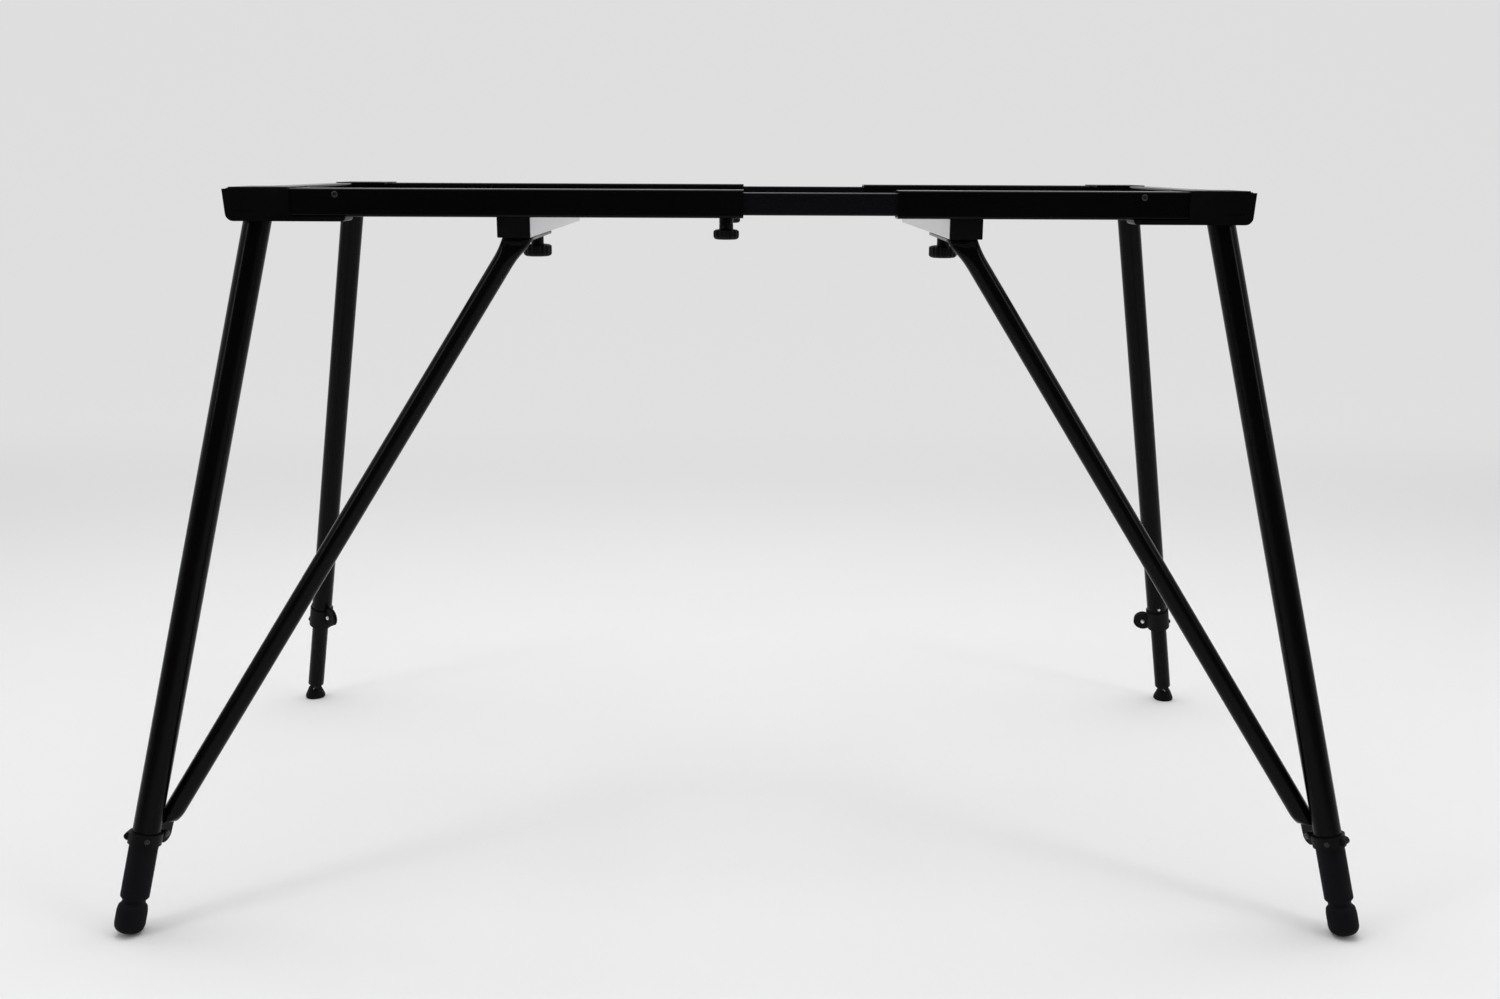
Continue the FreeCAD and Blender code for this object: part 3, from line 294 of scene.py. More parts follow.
def surface_piece(name, grids, finish, body, stands_for, sharp_degrees=40.0):
    """Makes one object from grids of points. Each grid is rows by columns by three, wraps round in
    its columns, and has a quad between each point and its neighbours in both directions."""
    points, faces, start = [], [], 0
    for grid in grids:
        rows, columns = grid.shape[:2]
        index = start + np.arange(rows * columns).reshape(rows, columns)
        after = np.roll(index, -1, axis=1)
        faces.append(np.stack([index[:-1], after[:-1], after[1:], index[1:]], axis=-1).reshape(-1, 4))
        points.append(grid.reshape(-1, 3))
        start += rows * columns
    mesh = bpy.data.meshes.new(name)
    mesh.from_pydata(np.concatenate(points).tolist(), [], np.concatenate(faces).tolist())
    work = bmesh.new()
    work.from_mesh(mesh)
    bmesh.ops.remove_doubles(work, verts=work.verts, dist=1e-6)
    bmesh.ops.dissolve_degenerate(work, edges=work.edges, dist=1e-7)
    bmesh.ops.recalc_face_normals(work, faces=work.faces)
    work.to_mesh(mesh)
    work.free()
    piece = shaded_piece(name, mesh, sharp_degrees)
    mesh.materials.append(finishes[finish])
    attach(piece, body)
    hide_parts(*stands_for)


def eased_profile(corners, steps=5):
    """A profile of (radius, height, ease) corners. Each corner is cut back by its ease along both
    neighbours, and a quadratic curve with the corner as its control point joins the two cuts."""
    corners = np.asarray(corners, float)
    out = [corners[0, :2]]
    for before, here, after in zip(corners[:-2], corners[1:-1], corners[2:]):
        if here[2] == 0:
            out.append(here[:2])
            continue
        start = here[:2] + unit(before[:2] - here[:2]) * here[2]
        stop = here[:2] + unit(after[:2] - here[:2]) * here[2]
        t = np.linspace(0, 1, steps + 1)[:, None]
        out.extend((1 - t) ** 2 * start + 2 * t * (1 - t) * here[:2] + t ** 2 * stop)
    out.append(corners[-1, :2])
    return np.array(out)


def full_turn(segments):
    """The angles of a number of even steps round a full turn."""
    return np.arange(segments) * 2 * np.pi / segments


def across(axis):
    """Two directions at right angles to an axis and to each other."""
    first = unit(np.cross(axis, (0.0, 1.0, 0.0) if abs(axis[1]) < 0.9 else (1.0, 0.0, 0.0)))
    return first, np.cross(axis, first)


def turned_grid(profile, origin, axis, segments=64, ripple=None):
    """Turns a profile round an axis: a point at angle a and profile step i is the origin, plus the
    height times the axis, plus the radius times (first cos a + second sin a). A ripple is a
    function of angle and profile step that adds to the radius."""
    axis = unit(axis)
    first, second = across(axis)
    angle = full_turn(segments)
    radius = np.repeat(profile[:, :1], segments, axis=1)
    if ripple is not None:
        radius = np.maximum(radius + ripple(angle[None, :], profile), 0.0)
    ring = np.cos(angle)[None, :, None] * first + np.sin(angle)[None, :, None] * second
    return np.asarray(origin) + profile[:, 1][:, None, None] * axis + radius[:, :, None] * ring


# %% [markdown]
# ## The places that the pieces hang on
# The legs lean outwards both ways, so most pieces sit on a slanted axis. These few numbers are the
# same as the CAD's: where each leg's axis meets the underside of its moulding, and where it meets
# the floor.

# %% Leg axes
leg_top_x, leg_top_y, leg_top_z = 0.5683, 0.2060, 0.8291
leg_foot = {"front": (0.7270, 0.3835), "rear": (0.7328, 0.3841)}
sides = {"left": -1, "right": 1}


def leg_axis(side, end):
    """The top point of a leg's axis and its direction down to the floor."""
    sx, sy = sides[side], (-1 if end == "front" else 1)
    top = np.array([sx * leg_top_x, sy * leg_top_y, leg_top_z])
    foot = np.array([sx * leg_foot[end][0], sy * leg_foot[end][1], 0.0])
    return top, unit(foot - top)


def turned_way(side, end, degrees):
    """The direction across a leg, turned from inwards towards the front by some degrees."""
    down = leg_axis(side, end)[1]
    inward = np.array([-sides[side], 0.0, 0.0])
    inward = unit(inward - down * inward.dot(down))
    forward = unit(np.cross(down, inward))
    forward = forward * (-1 if forward[1] > 0 else 1)
    return unit(inward * math.cos(math.radians(degrees)) + forward * math.sin(math.radians(degrees)))


for end in leg_foot:
    lean = math.degrees(math.acos(-leg_axis("left", end)[1][2]))
    print(end, "legs lean", round(lean, 1), "degrees")

# %% [markdown]
# ## Knobs
# A clamp knob is a moulded disc on a short neck, with shallow flutes round its rim for the fingers.
# The flutes are a ripple on the turned surface: the radius drops where a cosine of the angle does,
# and only on the rim, so that the top and the neck stay round.

# %% Knobs
brace_x, brace_knob_y, brace_knob_top = 0.261, -0.0593, 0.8065
rail_knob_x, rail_knob_y, rail_knob_top = -0.0161, 0.2392, 0.8277
rim_share, rim_fade, dish = 0.80, 0.16, 0.0009
flute_depth, flute_floor = 0.00085, 0.25


def knob(name, node, place, neck, head, flutes):
    """A fluted knob that hangs under a place, with (radius, height) for its neck and its head. The
    profile runs from the seat down the neck, over the rim and to a shallow dish underneath."""
    x, y, top = place
    under = top - neck[1]
    low = under - head[1]
    profile = eased_profile([
        (0.0, top, 0), (neck[0], top, 0.0006), (neck[0], under + 0.0004, 0.0012),
        (head[0] * rim_share, under, 0.0010), (head[0], under - 0.0016, 0.0012),
        (head[0], low + 0.0020, 0.0022), (head[0] * rim_share, low, 0.0012),
        (head[0] * 0.62, low, 0.0006), (head[0] * 0.56, low + dish, 0.0006),
        (0.0, low + dish, 0)])

    def flute(angle, line):
        """Minus the depth times a raised cosine of the angle, faded in near the rim."""
        rim = np.clip((line[:, :1] / head[0] - rim_share) / rim_fade, 0.0, 1.0)
        wave = np.clip(np.cos(angle * flutes), -flute_floor, 1.0) + flute_floor
        return -flute_depth * wave * rim * (line[:, 1:2] < under)
    grid = turned_grid(profile, (x, y, 0.0), (0, 0, 1), segments=flutes * 12, ripple=flute)
    surface_piece(name, [grid], "knob_plastic", node, [node])


for side, sx in sides.items():
    knob("brace_clamp_knob_" + side, "brace_knob_" + side, (sx * brace_x, brace_knob_y, brace_knob_top),
         neck=(0.0080, 0.0126), head=(0.0180, 0.0152), flutes=16)
for end, sy in (("front", -1), ("rear", 1)):
    knob("rail_clamp_knob_" + end, "rail_knob_" + end, (rail_knob_x, sy * rail_knob_y, rail_knob_top),
         neck=(0.0081, 0.0064), head=(0.0150, 0.0113), flutes=14)

# %% [markdown]
# ## Rubber boots
# Each near leg ends in a moulded rubber boot: a sleeve, a waist and a bulb that is rounded where it
# stands. The turned profile has soft corners, as rubber comes out of a mould, and a fine parting
# line runs down both sides as a ripple that is narrow in angle.

# %% Boots
bore, bore_depth, sleeve, waist, bulb = 0.0130, 0.0020, 0.0165, 0.0132, 0.0176
sleeve_top, sleeve_low, bulb_top = 0.7527, 0.8165, 0.8275
bulb_end, bulb_ease = 0.0110, 0.0126
line_height, line_width, line_turn = 0.00012, 0.012, 0.5


def parting_line(angle, line):
    """A ridge that is high only near two opposite angles: a narrow bell of the angle."""
    near = np.abs(np.sin(angle - line_turn))
    return line_height * np.exp(-(near / line_width) ** 2) * (line[:, :1] > 0.005)


for side in sides:
    top, down = leg_axis(side, "front")
    # The bulb's lower edge is close to a circle of radius bulb_end, whose middle lies the rest of the
    # bulb's radius out from the leg's axis. The circle's lowest point touches the floor
    reach = bulb_end + (bulb - bulb_end) * math.sqrt(1 - down[2] ** 2)
    ball = (leg_top_z - reach) / -down[2]
    profile = eased_profile([
        (0.0, sleeve_top + bore_depth, 0), (bore - 0.0004, sleeve_top + bore_depth, 0),
        (bore, sleeve_top, 0.0003),
        (sleeve, sleeve_top, 0.0008), (sleeve, sleeve_low, 0.0010), (waist, sleeve_low + 0.0036, 0.0008),
        (waist, bulb_top - 0.0036, 0.0008), (0.0164, bulb_top, 0.0008), (bulb, bulb_top + 0.0060, 0.0030),
        (bulb, ball + bulb_end, bulb_ease), (0.0, ball + bulb_end, 0)], steps=9)
    grid = turned_grid(profile, top, down, segments=96, ripple=parting_line)
    surface_piece("rubber_boot_" + side, [grid], "boot_rubber", "near_tube_" + side, ["boot_" + side])

# %% [markdown]
# ## Levelling feet and their studs
# Each far leg stands on a small cone with a ball socket in it. The cone is turned round the
# vertical, with four short slits in its collar that let it snap over the ball. The stud is turned
# round the leg's axis, and its thread is a ripple too: the radius follows a triangle wave of the
# height divided by the pitch, minus the angle divided by a full turn, which makes one helix.

# %% Feet and studs
ball_height, ball_radius, neck_radius = 0.009, 0.006, 0.0022
shank_radius, end_radius, shank_low, shank_high = 0.0040, 0.0034, -0.0360, -0.0120
thread_pitch, thread_depth, thread_step = 0.00125, 0.00062, 0.00018
cone_segments, slit_width, slit_depth, slit_low = 96, 0.16, 0.0030, 0.0150


def thread(angle, line):
    """A triangle wave along the helix, on the full-width shank only."""
    phase = (line[:, 1:2] / thread_pitch - angle / (2 * np.pi)) % 1.0
    shank = (line[:, :1] > shank_radius - 0.0001) & (line[:, 1:2] < shank_high + 0.0005)
    return -thread_depth * np.abs(2 * phase - 1) * shank


half_turn = np.linspace(0, np.pi, 25)[:-1]
ball_line = ball_radius * np.stack([np.sin(half_turn), -np.cos(half_turn)], axis=1)
ball_line = ball_line[(ball_line[:, 0] > neck_radius) | (ball_line[:, 1] > 0)]
heights = np.arange(shank_low + 0.0002, shank_high - 0.0001, thread_step)
shank = np.stack([np.full(len(heights), shank_radius), heights], axis=1)
stud_line = np.concatenate([[(0.0, shank_low), (end_radius, shank_low)], shank,
                            [(end_radius, shank_high), (neck_radius, shank_high + 0.0001)],
                            ball_line, [(0.0, ball_radius)]])
cone_line = eased_profile([
    (0.0, 0.0, 0), (0.0147, 0.0, 0.0005), (0.0160, 0.0012, 0.0005), (0.0160, 0.0046, 0.0012),
    (0.0102, 0.0178, 0.0003), (0.0100, 0.0180, 0.0001), (0.0092, 0.0180, 0.0003), (0.0046, 0.0134, 0.0002),
    (0.0059, 0.0105, 0.0008), (0.0061, 0.0090, 0.0008), (0.0043, 0.0047, 0.0010), (0.0, 0.0029, 0)], steps=4)
slit = np.exp(-(np.sin(2 * full_turn(cone_segments)) / slit_width) ** 2)

for side in sides:
    top, down = leg_axis(side, "rear")
    ball = top + down * ((leg_top_z - ball_height) / -down[2])
    stud = turned_grid(stud_line, ball, down, segments=40, ripple=thread)
    surface_piece("levelling_stud_" + side, [stud], "zinc", "stud_" + side, ["levelling_screw_" + side])
    cone = turned_grid(cone_line, (ball[0], ball[1], 0.0), (0, 0, 1), segments=cone_segments)
    cone[..., 2] -= slit_depth * slit[None, :] * np.clip((cone[..., 2] - slit_low) / slit_depth, 0.0, 1.0)
    surface_piece("levelling_cone_" + side, [cone], "pad_plastic", "pad_" + side, ["levelling_foot_" + side])

# %% [markdown]
# ## Screw heads and nuts
# A screw head is a small dome with a driver's recess. On the turned grid the recess is a change of
# height: a cross is the set of points that are near either of two lines through the middle, and a
# ramp of the distance to its edge, cut off at both ends, gives it sloping walls.


# %% Screws and nuts
def domed_head(seat, way, radius, height, recess, shank_radius, shank):
    """A domed head that stands on a seat along a direction, with a cross recess and its shank. The
    dome starts with a short upright edge and is a little fuller than a quarter circle."""
    rise = np.linspace(0, 1, 13) * np.pi / 2
    dome = np.stack([radius * np.cos(rise) ** 0.55, height * (0.22 + 0.78 * np.sin(rise))], axis=1)
    flat = np.linspace(dome[-4, 0], 0.0, 14)
    crown = np.stack([flat, np.interp(flat, dome[::-1, 0], dome[::-1, 1])], axis=1)
    stem = [(0.0, -shank), (shank_radius, -shank), (shank_radius, 0.0), (radius * 0.97, 0.0)]
    grid = turned_grid(np.concatenate([stem, dome[:-4], crown]), (0, 0, 0), (0, 0, 1), segments=64)
    x, y, z = grid[..., 0], grid[..., 1], grid[..., 2]
    arm, width, slope = radius * 0.62, radius * 0.13, radius * 0.07
    line = np.minimum(np.maximum(np.abs(x) - arm, np.abs(y) - width),
                      np.maximum(np.abs(y) - arm, np.abs(x) - width))
    inside = np.clip(-line / slope + 0.5, 0.0, 1.0)
    z = z - recess * inside * (z > height * 0.5)
    way = unit(way)
    first, second = across(way)
    return np.asarray(seat) + x[..., None] * first + y[..., None] * second + z[..., None] * way


def hex_nut(seat, way, corner_radius, thickness, hole):
    """A nut whose radius is the flat's distance divided by the cosine of the angle to the nearest
    flat's middle, held inside a cone at both faces, with a round hole through it."""
    flat = corner_radius * math.cos(math.pi / 6)
    profile = np.array([(hole, 0.0), (flat * 0.97, 0.0), (corner_radius, thickness * 0.16),
                        (corner_radius, thickness * 0.84), (flat * 0.97, thickness), (hole, thickness),
                        (hole, 0.0)])

    def hexagon(angle, line):
        """The hexagon's radius where it is less than the profile's, as a change to the profile's."""
        nearest = (angle + np.pi / 6) % (np.pi / 3) - np.pi / 6
        return np.minimum(flat / np.cos(nearest), line[:, :1]) - line[:, :1]
    return turned_grid(profile, seat, way, segments=72, ripple=hexagon)


# %% [markdown]
# ## The collars' bolts and set screws
# Each collar is pinched by a bolt through its ears and held by a set screw. Both sit at some
# distance down the leg and out from its axis, and each of them points across the leg at an angle
# that is counted from inwards towards the front. A near bolt also goes through the brace's plate.

# %% Fasteners
ear_half, nut_radius, nut_height, nut_hole = 0.0038, 0.0042, 0.0044, 0.00256
bolt_radius, bolt_length, bolt_dome = 0.0025, 0.0128, 0.95
pin_radius, pin_dome, pin_recess, sunk, lower_tube_radius = 0.0016, 0.6, 0.0006, 0.0005, 0.0129
near_collar = {"ear_at": 0.7427, "ear_out": 0.0244, "ear_turn": -72.0, "plate": 0.0044, "head": 0.0042,
               "screw_at": 0.7451, "wall": 0.0192, "screw_turn": 61.0, "screw_head": 0.0030,
               "finish": "black_zinc", "screw_finish": "black_zinc"}
far_collar = {"ear_out": 0.0245, "plate": 0.0, "head": 0.0033, "screw_at": 0.6765, "wall": 0.0159,
              "finish": "zinc"}
collars = {
    ("left", "front"): near_collar,
    # The far set screws are one and the same part: the right one is bright zinc for its glint, and the left
    # one is black zinc, a darker copy as painted shade where no glint shows.
    ("left", "rear"): dict(far_collar, ear_at=0.691, ear_turn=42.0, screw_turn=147.0, screw_head=0.0030,
                           screw_finish="black_zinc"),
    ("right", "front"): near_collar,
    ("right", "rear"): dict(far_collar, ear_at=0.705, ear_turn=-17.0, screw_turn=88.0, screw_head=0.0022,
                            screw_finish="zinc"),
}
moulding_screw = (0.462, 0.2551, 0.8595)


def collar_fasteners(side, end):
    """The bolt with its nut, and the set screw of one collar."""
    collar, near = collars[side, end], end == "front"
    prefix = "brace" if near else "collar"
    node = ("brace_fasteners_" if near else "clamp_fasteners_") + side
    body = side + "_half" if near else "far_leg_" + side
    top, down = leg_axis(side, end)
    ear, bolt = turned_way(side, end, collar["ear_turn"]), turned_way(side, end, collar["ear_turn"] + 90)
    hole = top + down * collar["ear_at"] + ear * collar["ear_out"]
    head = domed_head(hole + bolt * (ear_half + collar["plate"]), bolt, collar["head"],
                      collar["head"] * bolt_dome, 0.0, bolt_radius, bolt_length + collar["plate"])
    nut = hex_nut(hole - bolt * ear_half - bolt * nut_height, bolt, nut_radius, nut_height, nut_hole)
    surface_piece(prefix + "_bolt_" + side, [head, nut], collar["finish"], body, [node], sharp_degrees=30.0)
    screw = turned_way(side, end, collar["screw_turn"])
    seat = top + down * collar["screw_at"] + screw * (collar["wall"] - sunk)
    pin = domed_head(seat, screw, collar["screw_head"], collar["screw_head"] * pin_dome, pin_recess,
                     pin_radius, collar["wall"] - sunk - lower_tube_radius)
    surface_piece(prefix + "_set_screw_" + side, [pin], collar["screw_finish"], body, [node],
                  sharp_degrees=30.0)


def rail_end_screws(side):
    """The screws that hold the corner mouldings of one side in their rails, front and rear."""
    x, y, z = moulding_screw
    heads = [domed_head((sides[side] * x, sy * y, z), (0, sy, 0), radius=0.0036, height=0.0018,
                        recess=0.0008, shank_radius=0.0021, shank=0.0115) for sy in (-1, 1)]
    surface_piece("rail_end_screws_" + side, heads, "black_zinc", side + "_half", ["corner_screws_" + side],
                  sharp_degrees=30.0)


for side in sides:
    collar_fasteners(side, "front")
    collar_fasteners(side, "rear")
    rail_end_screws(side)

# %% [markdown]
# ## The braces
# A brace is one tube whose ends were pressed flat: the top end to a wide strap that runs back under
# the crossbar, the lower end to a narrow plate against the collar. So it is one section carried
# along one path. At each station the section is a superellipse, where x is the half width times
# the cosine to the power 2/n and y the half thickness times the sine to the power 2/n: n = 2 gives
# the round tube and n = 7 a flat bar with round edges.

# %% Braces
# Half sizes of the tube, the strap, the plate and what was pressed flat, then the strap's places
tube_radius, strap_half, plate_half, press_half = 0.0120, 0.0182, 0.0115, 0.0022
corner_y, corner_z, crossbar_underside = -0.226, 0.8090, 0.8111
# The plate lies against the ear's face, and the tube comes down a little behind the plate's middle
plate_offset, tube_offset = 0.006, 0.004
# How far above the plate's hole and below the strap's corner the tube is still round, how long the
# flat ends run straight, and the handles of the curves between them
round_low, round_high, flat_run = 0.036, 0.034, 0.013
strap_handle, high_handle, low_handle, plate_handle = 0.016, 0.026, 0.014, 0.006
band_from, band_clear, leg_clear = 0.736, 0.0195, 0.0163
round_power, flat_power = 2.0, 7.0


def smooth(t):
    """The smooth step 3t² - 2t³."""
    return t * t * (3 - 2 * t)


def bezier(a, b, c, d, t):
    """A cubic curve: the four points weighted by (1-t)³, 3(1-t)²t, 3(1-t)t² and t³."""
    t = t[:, None]
    return (1 - t) ** 3 * a + 3 * (1 - t) ** 2 * t * b + 3 * (1 - t) * t ** 2 * c + t ** 3 * d


def superellipse(wide_half, thin_half, power, columns=56):
    """The section's two coordinates at each station: rows of stations by columns of angles."""
    c, s = np.cos(full_turn(columns))[None, :], np.sin(full_turn(columns))[None, :]
    return (wide_half[:, None] * np.sign(c) * np.abs(c) ** (2 / power[:, None]),
            thin_half[:, None] * np.sign(s) * np.abs(s) ** (2 / power[:, None]))


def cleared(grid, top, down):
    """Moves points that are too near the leg's axis straight out from it. They have to clear the
    leg, and from some distance down also the collar's wider band."""
    from_axis = grid - top
    height = (from_axis * down).sum(-1, keepdims=True)
    sideways = from_axis - height * down
    distance = np.linalg.norm(sideways, axis=-1, keepdims=True)
    clear = np.where(height > band_from, band_clear, leg_clear)
    return np.where(distance < clear, grid + sideways / np.maximum(distance, 1e-6) * (clear - distance), grid)


def brace_grid(side):
    """The brace from the strap's round end to the plate's. Each stretch gives its places, half
    width, half thickness, power, and the share by which the wide way has turned to the plate's."""
    top, down = leg_axis(side, "front")
    ear = turned_way(side, "front", near_collar["ear_turn"])
    bolt = turned_way(side, "front", near_collar["ear_turn"] + 90)
    hole = top + down * near_collar["ear_at"] + ear * near_collar["ear_out"] + bolt * plate_offset
    corner = np.array([sides[side] * brace_x, corner_y, corner_z])
    up, back, wide_top = unit(corner - hole), np.array([0.0, 1.0, 0.0]), np.array([1.0, 0.0, 0.0])
    flat = unit(up - bolt * up.dot(bolt))
    wide_low = unit(np.cross(flat, bolt)) * np.sign(np.cross(flat, bolt)[0])
    knob_at = np.array([corner[0], brace_knob_y, corner_z])
    low, high = hole - bolt * tube_offset + up * round_low, corner - up * round_high
    strap, plate = corner + back * flat_run, hole + flat * flat_run
    round_end = np.linspace(0.0, np.pi / 2, 12)
    ease, run = np.linspace(0.0, 1.0, 22)[1:], np.linspace(0.0, 1.0, 26)[1:]
    soft = smooth(ease)
    stretches = [
        (knob_at + back * strap_half * np.cos(round_end)[:, None], strap_half * np.sin(round_end),
         press_half, flat_power, 0.0),
        (knob_at + (strap - knob_at) * run[:, None], strap_half, press_half, flat_power, 0.0),
        (bezier(strap, strap - back * strap_handle, high + up * high_handle, high, ease),
         strap_half + (tube_radius - strap_half) * soft, press_half + (tube_radius - press_half) * soft,
         flat_power + (round_power - flat_power) * soft ** 0.5, 0.0),
        (high + (low - high) * run[:, None], tube_radius, tube_radius, round_power, run),
        (bezier(low, low - up * low_handle, plate + flat * plate_handle, plate, ease),
         tube_radius + (plate_half - tube_radius) * ease,
         tube_radius + (press_half - tube_radius) * ease ** 1.6,
         round_power + (flat_power - round_power) * soft ** 2, 1.0),
        (plate + (hole - plate) * run[::5, None], plate_half, press_half, flat_power, 1.0),
        (hole - flat * plate_half * np.cos(round_end[::-1])[1:, None],
         plate_half * np.sin(round_end[::-1])[1:], press_half, flat_power, 1.0)]
    place = np.concatenate([stretch[0] for stretch in stretches])
    wide_half, thin_half, power, low_share = (
        np.concatenate([np.broadcast_to(stretch[k], len(stretch[0])) for stretch in stretches])
        for k in (1, 2, 3, 4))
    along = np.gradient(place, axis=0)
    along /= np.linalg.norm(along, axis=1)[:, None]
    wide = wide_top + (wide_low - wide_top) * low_share[:, None]
    wide -= along * (wide * along).sum(1)[:, None]
    wide /= np.linalg.norm(wide, axis=1)[:, None]
    x, y = superellipse(wide_half, thin_half, power)
    grid = (place[:, None, :] + x[..., None] * wide[:, None, :]
            + y[..., None] * np.cross(along, wide)[:, None, :])
    # The strap's upper side is pressed flat against the crossbar
    grid[..., 2] = np.minimum(grid[..., 2], crossbar_underside)
    return cleared(grid, top, down)


for side in sides:
    surface_piece("brace_tube_" + side, [brace_grid(side)], "brace_paint", side + "_half", ["brace_" + side],
                  sharp_degrees=55.0)

# %% [markdown]
# ## Softer edges on the mouldings and the bars
# No moulded or sawn edge is perfectly sharp: each one catches a thin line of light. These pieces
# keep their CAD shape. A copy is merged into one closed mesh, and a small bevel rounds every edge
# that is sharper than a limit.

# %% Softened copies
edge_degrees, flat_degrees, merge_distance = 35.0, 0.4, 2e-6


def softened(node, name, body, width):
    """A merged copy of a CAD node with a bevel on its sharp edges. It stands for the node."""
    mesh = nodes[node].data.copy()
    work = bmesh.new()
    work.from_mesh(mesh)
    bmesh.ops.remove_doubles(work, verts=work.verts, dist=merge_distance)
    bmesh.ops.dissolve_limit(work, angle_limit=math.radians(flat_degrees), verts=work.verts, edges=work.edges)
    bmesh.ops.recalc_face_normals(work, faces=work.faces)
    work.to_mesh(mesh)
    work.free()
    piece = shaded_piece(name, mesh, edge_degrees)
    edge = piece.modifiers.new("soft edges", "BEVEL")
    edge.width, edge.segments, edge.limit_method = width, 2, "ANGLE"
    edge.angle_limit = math.radians(edge_degrees)
    even = piece.modifiers.new("even shading", "WEIGHTED_NORMAL")
    even.keep_sharp = True
    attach(piece, body)
    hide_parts(node)


for side in sides:
    half = side + "_half"
    for end in ("front", "rear"):
        softened("corner_" + end + "_" + side, "corner_moulding_" + end + "_" + side, half, 0.0006)
    softened("crossbar_" + side, "crossbar_tube_" + side, half, 0.0003)
    softened("crossbar_caps_" + side, "crossbar_end_caps_" + side, half, 0.0005)
    softened("brace_collar_" + side, "near_collar_" + side, half, 0.0004)
    softened("clamp_collar_" + side, "far_collar_" + side, "far_leg_" + side, 0.0005)

# %% [markdown]
# ## The studio
# The photograph has one white sheet that runs under the stand and curves up behind it, so there is
# no line where floor and wall meet, and the picture only darkens a little towards its top. The
# sweep is the same: a profile of flat floor, a quarter circle and a wall, carried sideways.

# %% The sweep
bend, wall_y, wall_top, floor_front, sweep_half = 2.4, 5.2, 8.0, -5.0, 9.0
quarter = np.linspace(0.0, np.pi / 2, 33)
curve = np.stack([wall_y - bend + bend * np.sin(quarter), bend - bend * np.cos(quarter)], axis=1)
profile = np.concatenate([[(floor_front, 0.0), (wall_y - bend - 0.5, 0.0)], curve, [(wall_y, wall_top)]])
edges = [np.insert(profile, 0, x, axis=1) for x in (-sweep_half, sweep_half)]
count = len(profile)
index = np.arange(count - 1)
sweep_mesh = bpy.data.meshes.new("sweep")
sweep_mesh.from_pydata(np.concatenate(edges).tolist(), [],
                       np.stack([index, index + count, index + count + 1, index + 1], axis=1).tolist())
sweep_mesh.polygons.foreach_set("use_smooth", [True] * len(sweep_mesh.polygons))
sweep = bpy.data.objects.new("sweep", sweep_mesh)
bpy.context.scene.collection.objects.link(sweep)
sweep_paper = bpy.data.materials.new("white paper")
sweep_paper.use_nodes = True
paper = sweep_paper.node_tree
sweep_shader = paper.nodes["Principled BSDF"]
sweep_shader.inputs["Base Color"].default_value = (0.92, 0.92, 0.925, 1.0)
sweep_shader.inputs["Roughness"].default_value = 0.9
sweep_shader.inputs["Specular IOR Level"].default_value = 0.1
sweep.data.materials.append(sweep_paper)

# %% [markdown]
# A wall faces the dim side of the studio, so it would turn out too grey. Its plain tone is shown to
# the camera and in reflections instead, and lights nothing. The share of it grows with the distance
# behind the stand, so the floor round the stand keeps its real light and the stand's shadow.

# %% The wall's tone
plain_tone = (0.75, 0.75, 0.755, 1.0)


def seen_directly(tree, rays):
    """From a light path node, a value that is 1 for camera, glossy and transmission rays."""
    mirrored = combine(tree, "MAXIMUM", rays.outputs["Is Glossy Ray"], rays.outputs["Is Transmission Ray"])
    return combine(tree, "MAXIMUM", rays.outputs["Is Camera Ray"], mirrored)


seen = seen_directly(paper, add_node(paper, "ShaderNodeLightPath"))
spot = add_node(paper, "ShaderNodeNewGeometry")
depth = add_node(paper, "ShaderNodeSeparateXYZ", None, Vector=spot.outputs["Position"])
wall_share = add_node(
    paper, "ShaderNodeMapRange",
    {"From Min": 1.0, "From Max": 3.0, "To Max": 0.95, "interpolation_type": "SMOOTHSTEP"},
    Value=depth.outputs["Y"])
tone = add_node(paper, "ShaderNodeEmission", {"Color": plain_tone, "Strength": 1.0})
shown = add_node(paper, "ShaderNodeMixShader")
paper.links.new(combine(paper, "MULTIPLY", wall_share.outputs["Result"], seen), shown.inputs[0])
paper.links.new(sweep_shader.outputs["BSDF"], shown.inputs[1])
paper.links.new(tone.outputs["Emission"], shown.inputs[2])
paper.links.new(shown.outputs["Shader"], paper.nodes["Material Output"].inputs["Surface"])
print("sweep:", len(sweep_mesh.polygons), "faces")

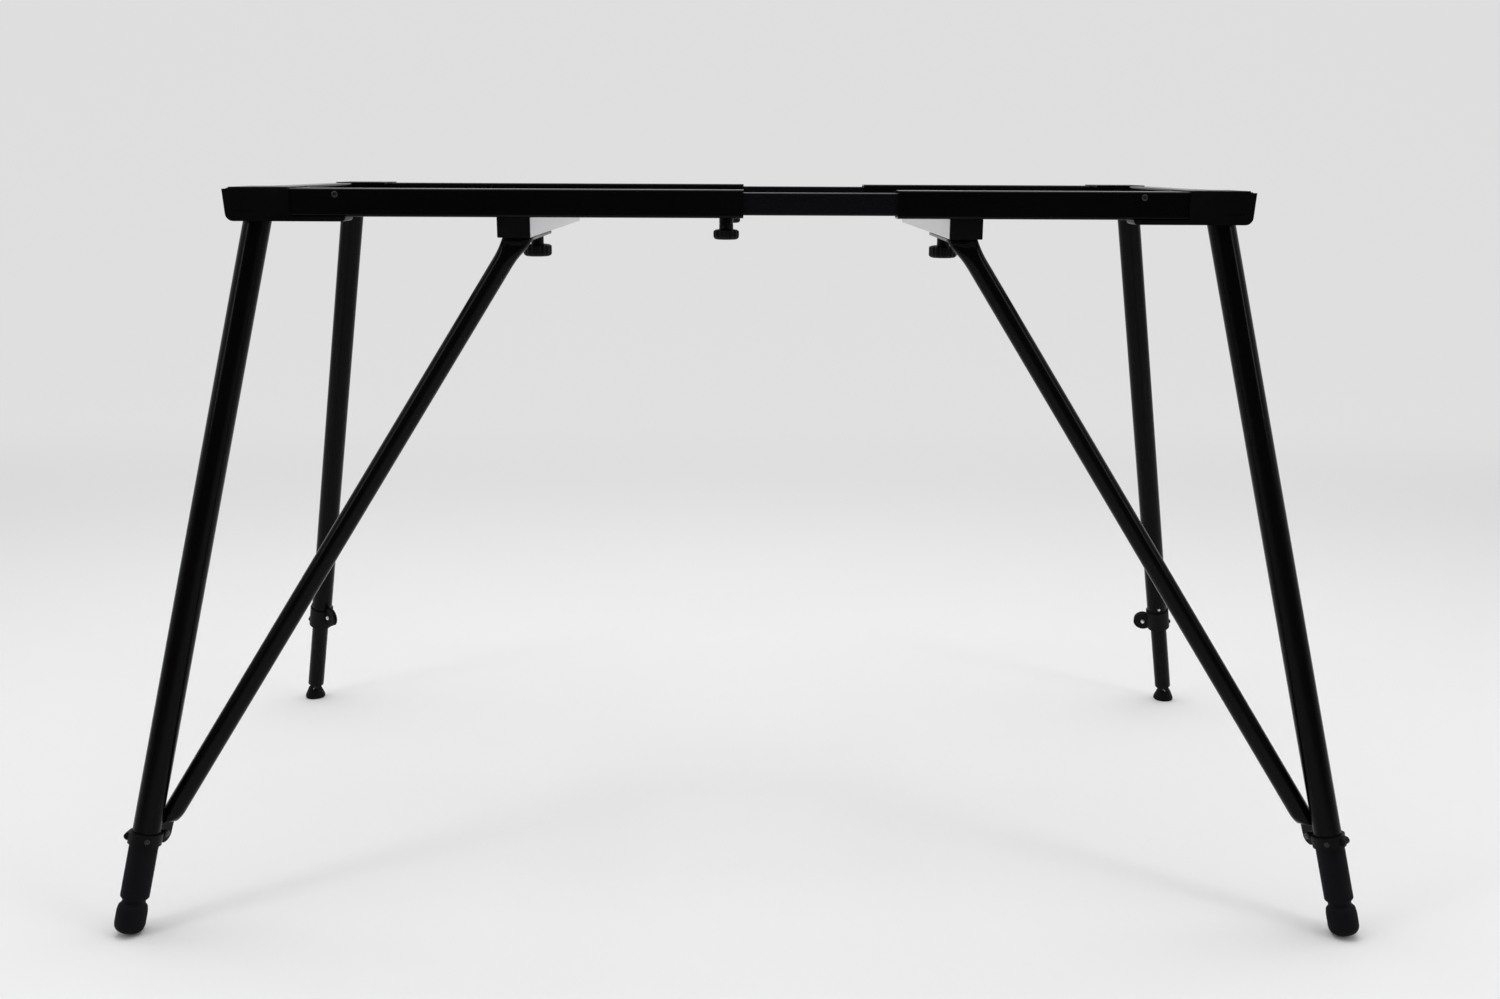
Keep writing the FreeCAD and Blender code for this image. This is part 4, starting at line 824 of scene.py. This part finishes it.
# %% [markdown]
# ## The light
# A white world gives the plain level: paper under it comes out as light as it is written. The side
# where the camera stands is dimmer, and that is why the black tubes look black between their long
# streaks. So the world's brightness is a smooth step of the direction's Y. The camera sees the wall's
# plain tone past the sweep, and reflections see it too, dimmed by the same step. A large soft lamp
# above and two narrow ones at the sides put the long streaks on the tubes.

# %% World and lamps
world = bpy.data.worlds.new("studio")
bpy.context.scene.world = world
world.use_nodes = True
sky = world.node_tree
sky.nodes.clear()
direction = add_node(sky, "ShaderNodeTexCoord")
parts_of = add_node(sky, "ShaderNodeSeparateXYZ", None, Vector=direction.outputs["Generated"])
behind = add_node(
    sky, "ShaderNodeMapRange",
    {"From Min": -0.75, "From Max": 0.05, "To Min": 0.08, "To Max": 1.0, "interpolation_type": "SMOOTHSTEP"},
    Value=parts_of.outputs["Y"])
lit = add_node(sky, "ShaderNodeBackground", {"Strength": 0.93}, Color=behind.outputs["Result"])
rays = add_node(sky, "ShaderNodeLightPath")
direct = seen_directly(sky, rays)
card = combine(sky, "MAXIMUM", behind.outputs["Result"], rays.outputs["Is Camera Ray"])
plain = add_node(sky, "ShaderNodeBackground", {"Color": plain_tone}, Strength=card)
choose = add_node(sky, "ShaderNodeMixShader")
sky.links.new(direct, choose.inputs[0])
sky.links.new(lit.outputs["Background"], choose.inputs[1])
sky.links.new(plain.outputs["Background"], choose.inputs[2])
add_node(sky, "ShaderNodeOutputWorld", None, Surface=choose.outputs["Shader"])


def soft_box(name, place, target, width, height, power):
    """A rectangular area lamp at a place, turned to a target."""
    lamp = bpy.data.objects.new(name, bpy.data.lights.new(name, "AREA"))
    lamp.data.shape = "RECTANGLE"
    lamp.data.size, lamp.data.size_y, lamp.data.energy = width, height, power
    lamp.location = place
    lamp.rotation_euler = (Vector(target) - Vector(place)).to_track_quat("-Z", "Y").to_euler()
    bpy.context.scene.collection.objects.link(lamp)


soft_box("top box", (0.0, 0.3, 3.6), (0.0, 0.2, 0.0), width=4.0, height=3.0, power=60.0)
for side, sx in sides.items():
    soft_box(side + " box", (sx * 2.6, -1.6, 2.0), (0.0, 0.0, 0.5), width=0.5, height=1.6, power=10.0)
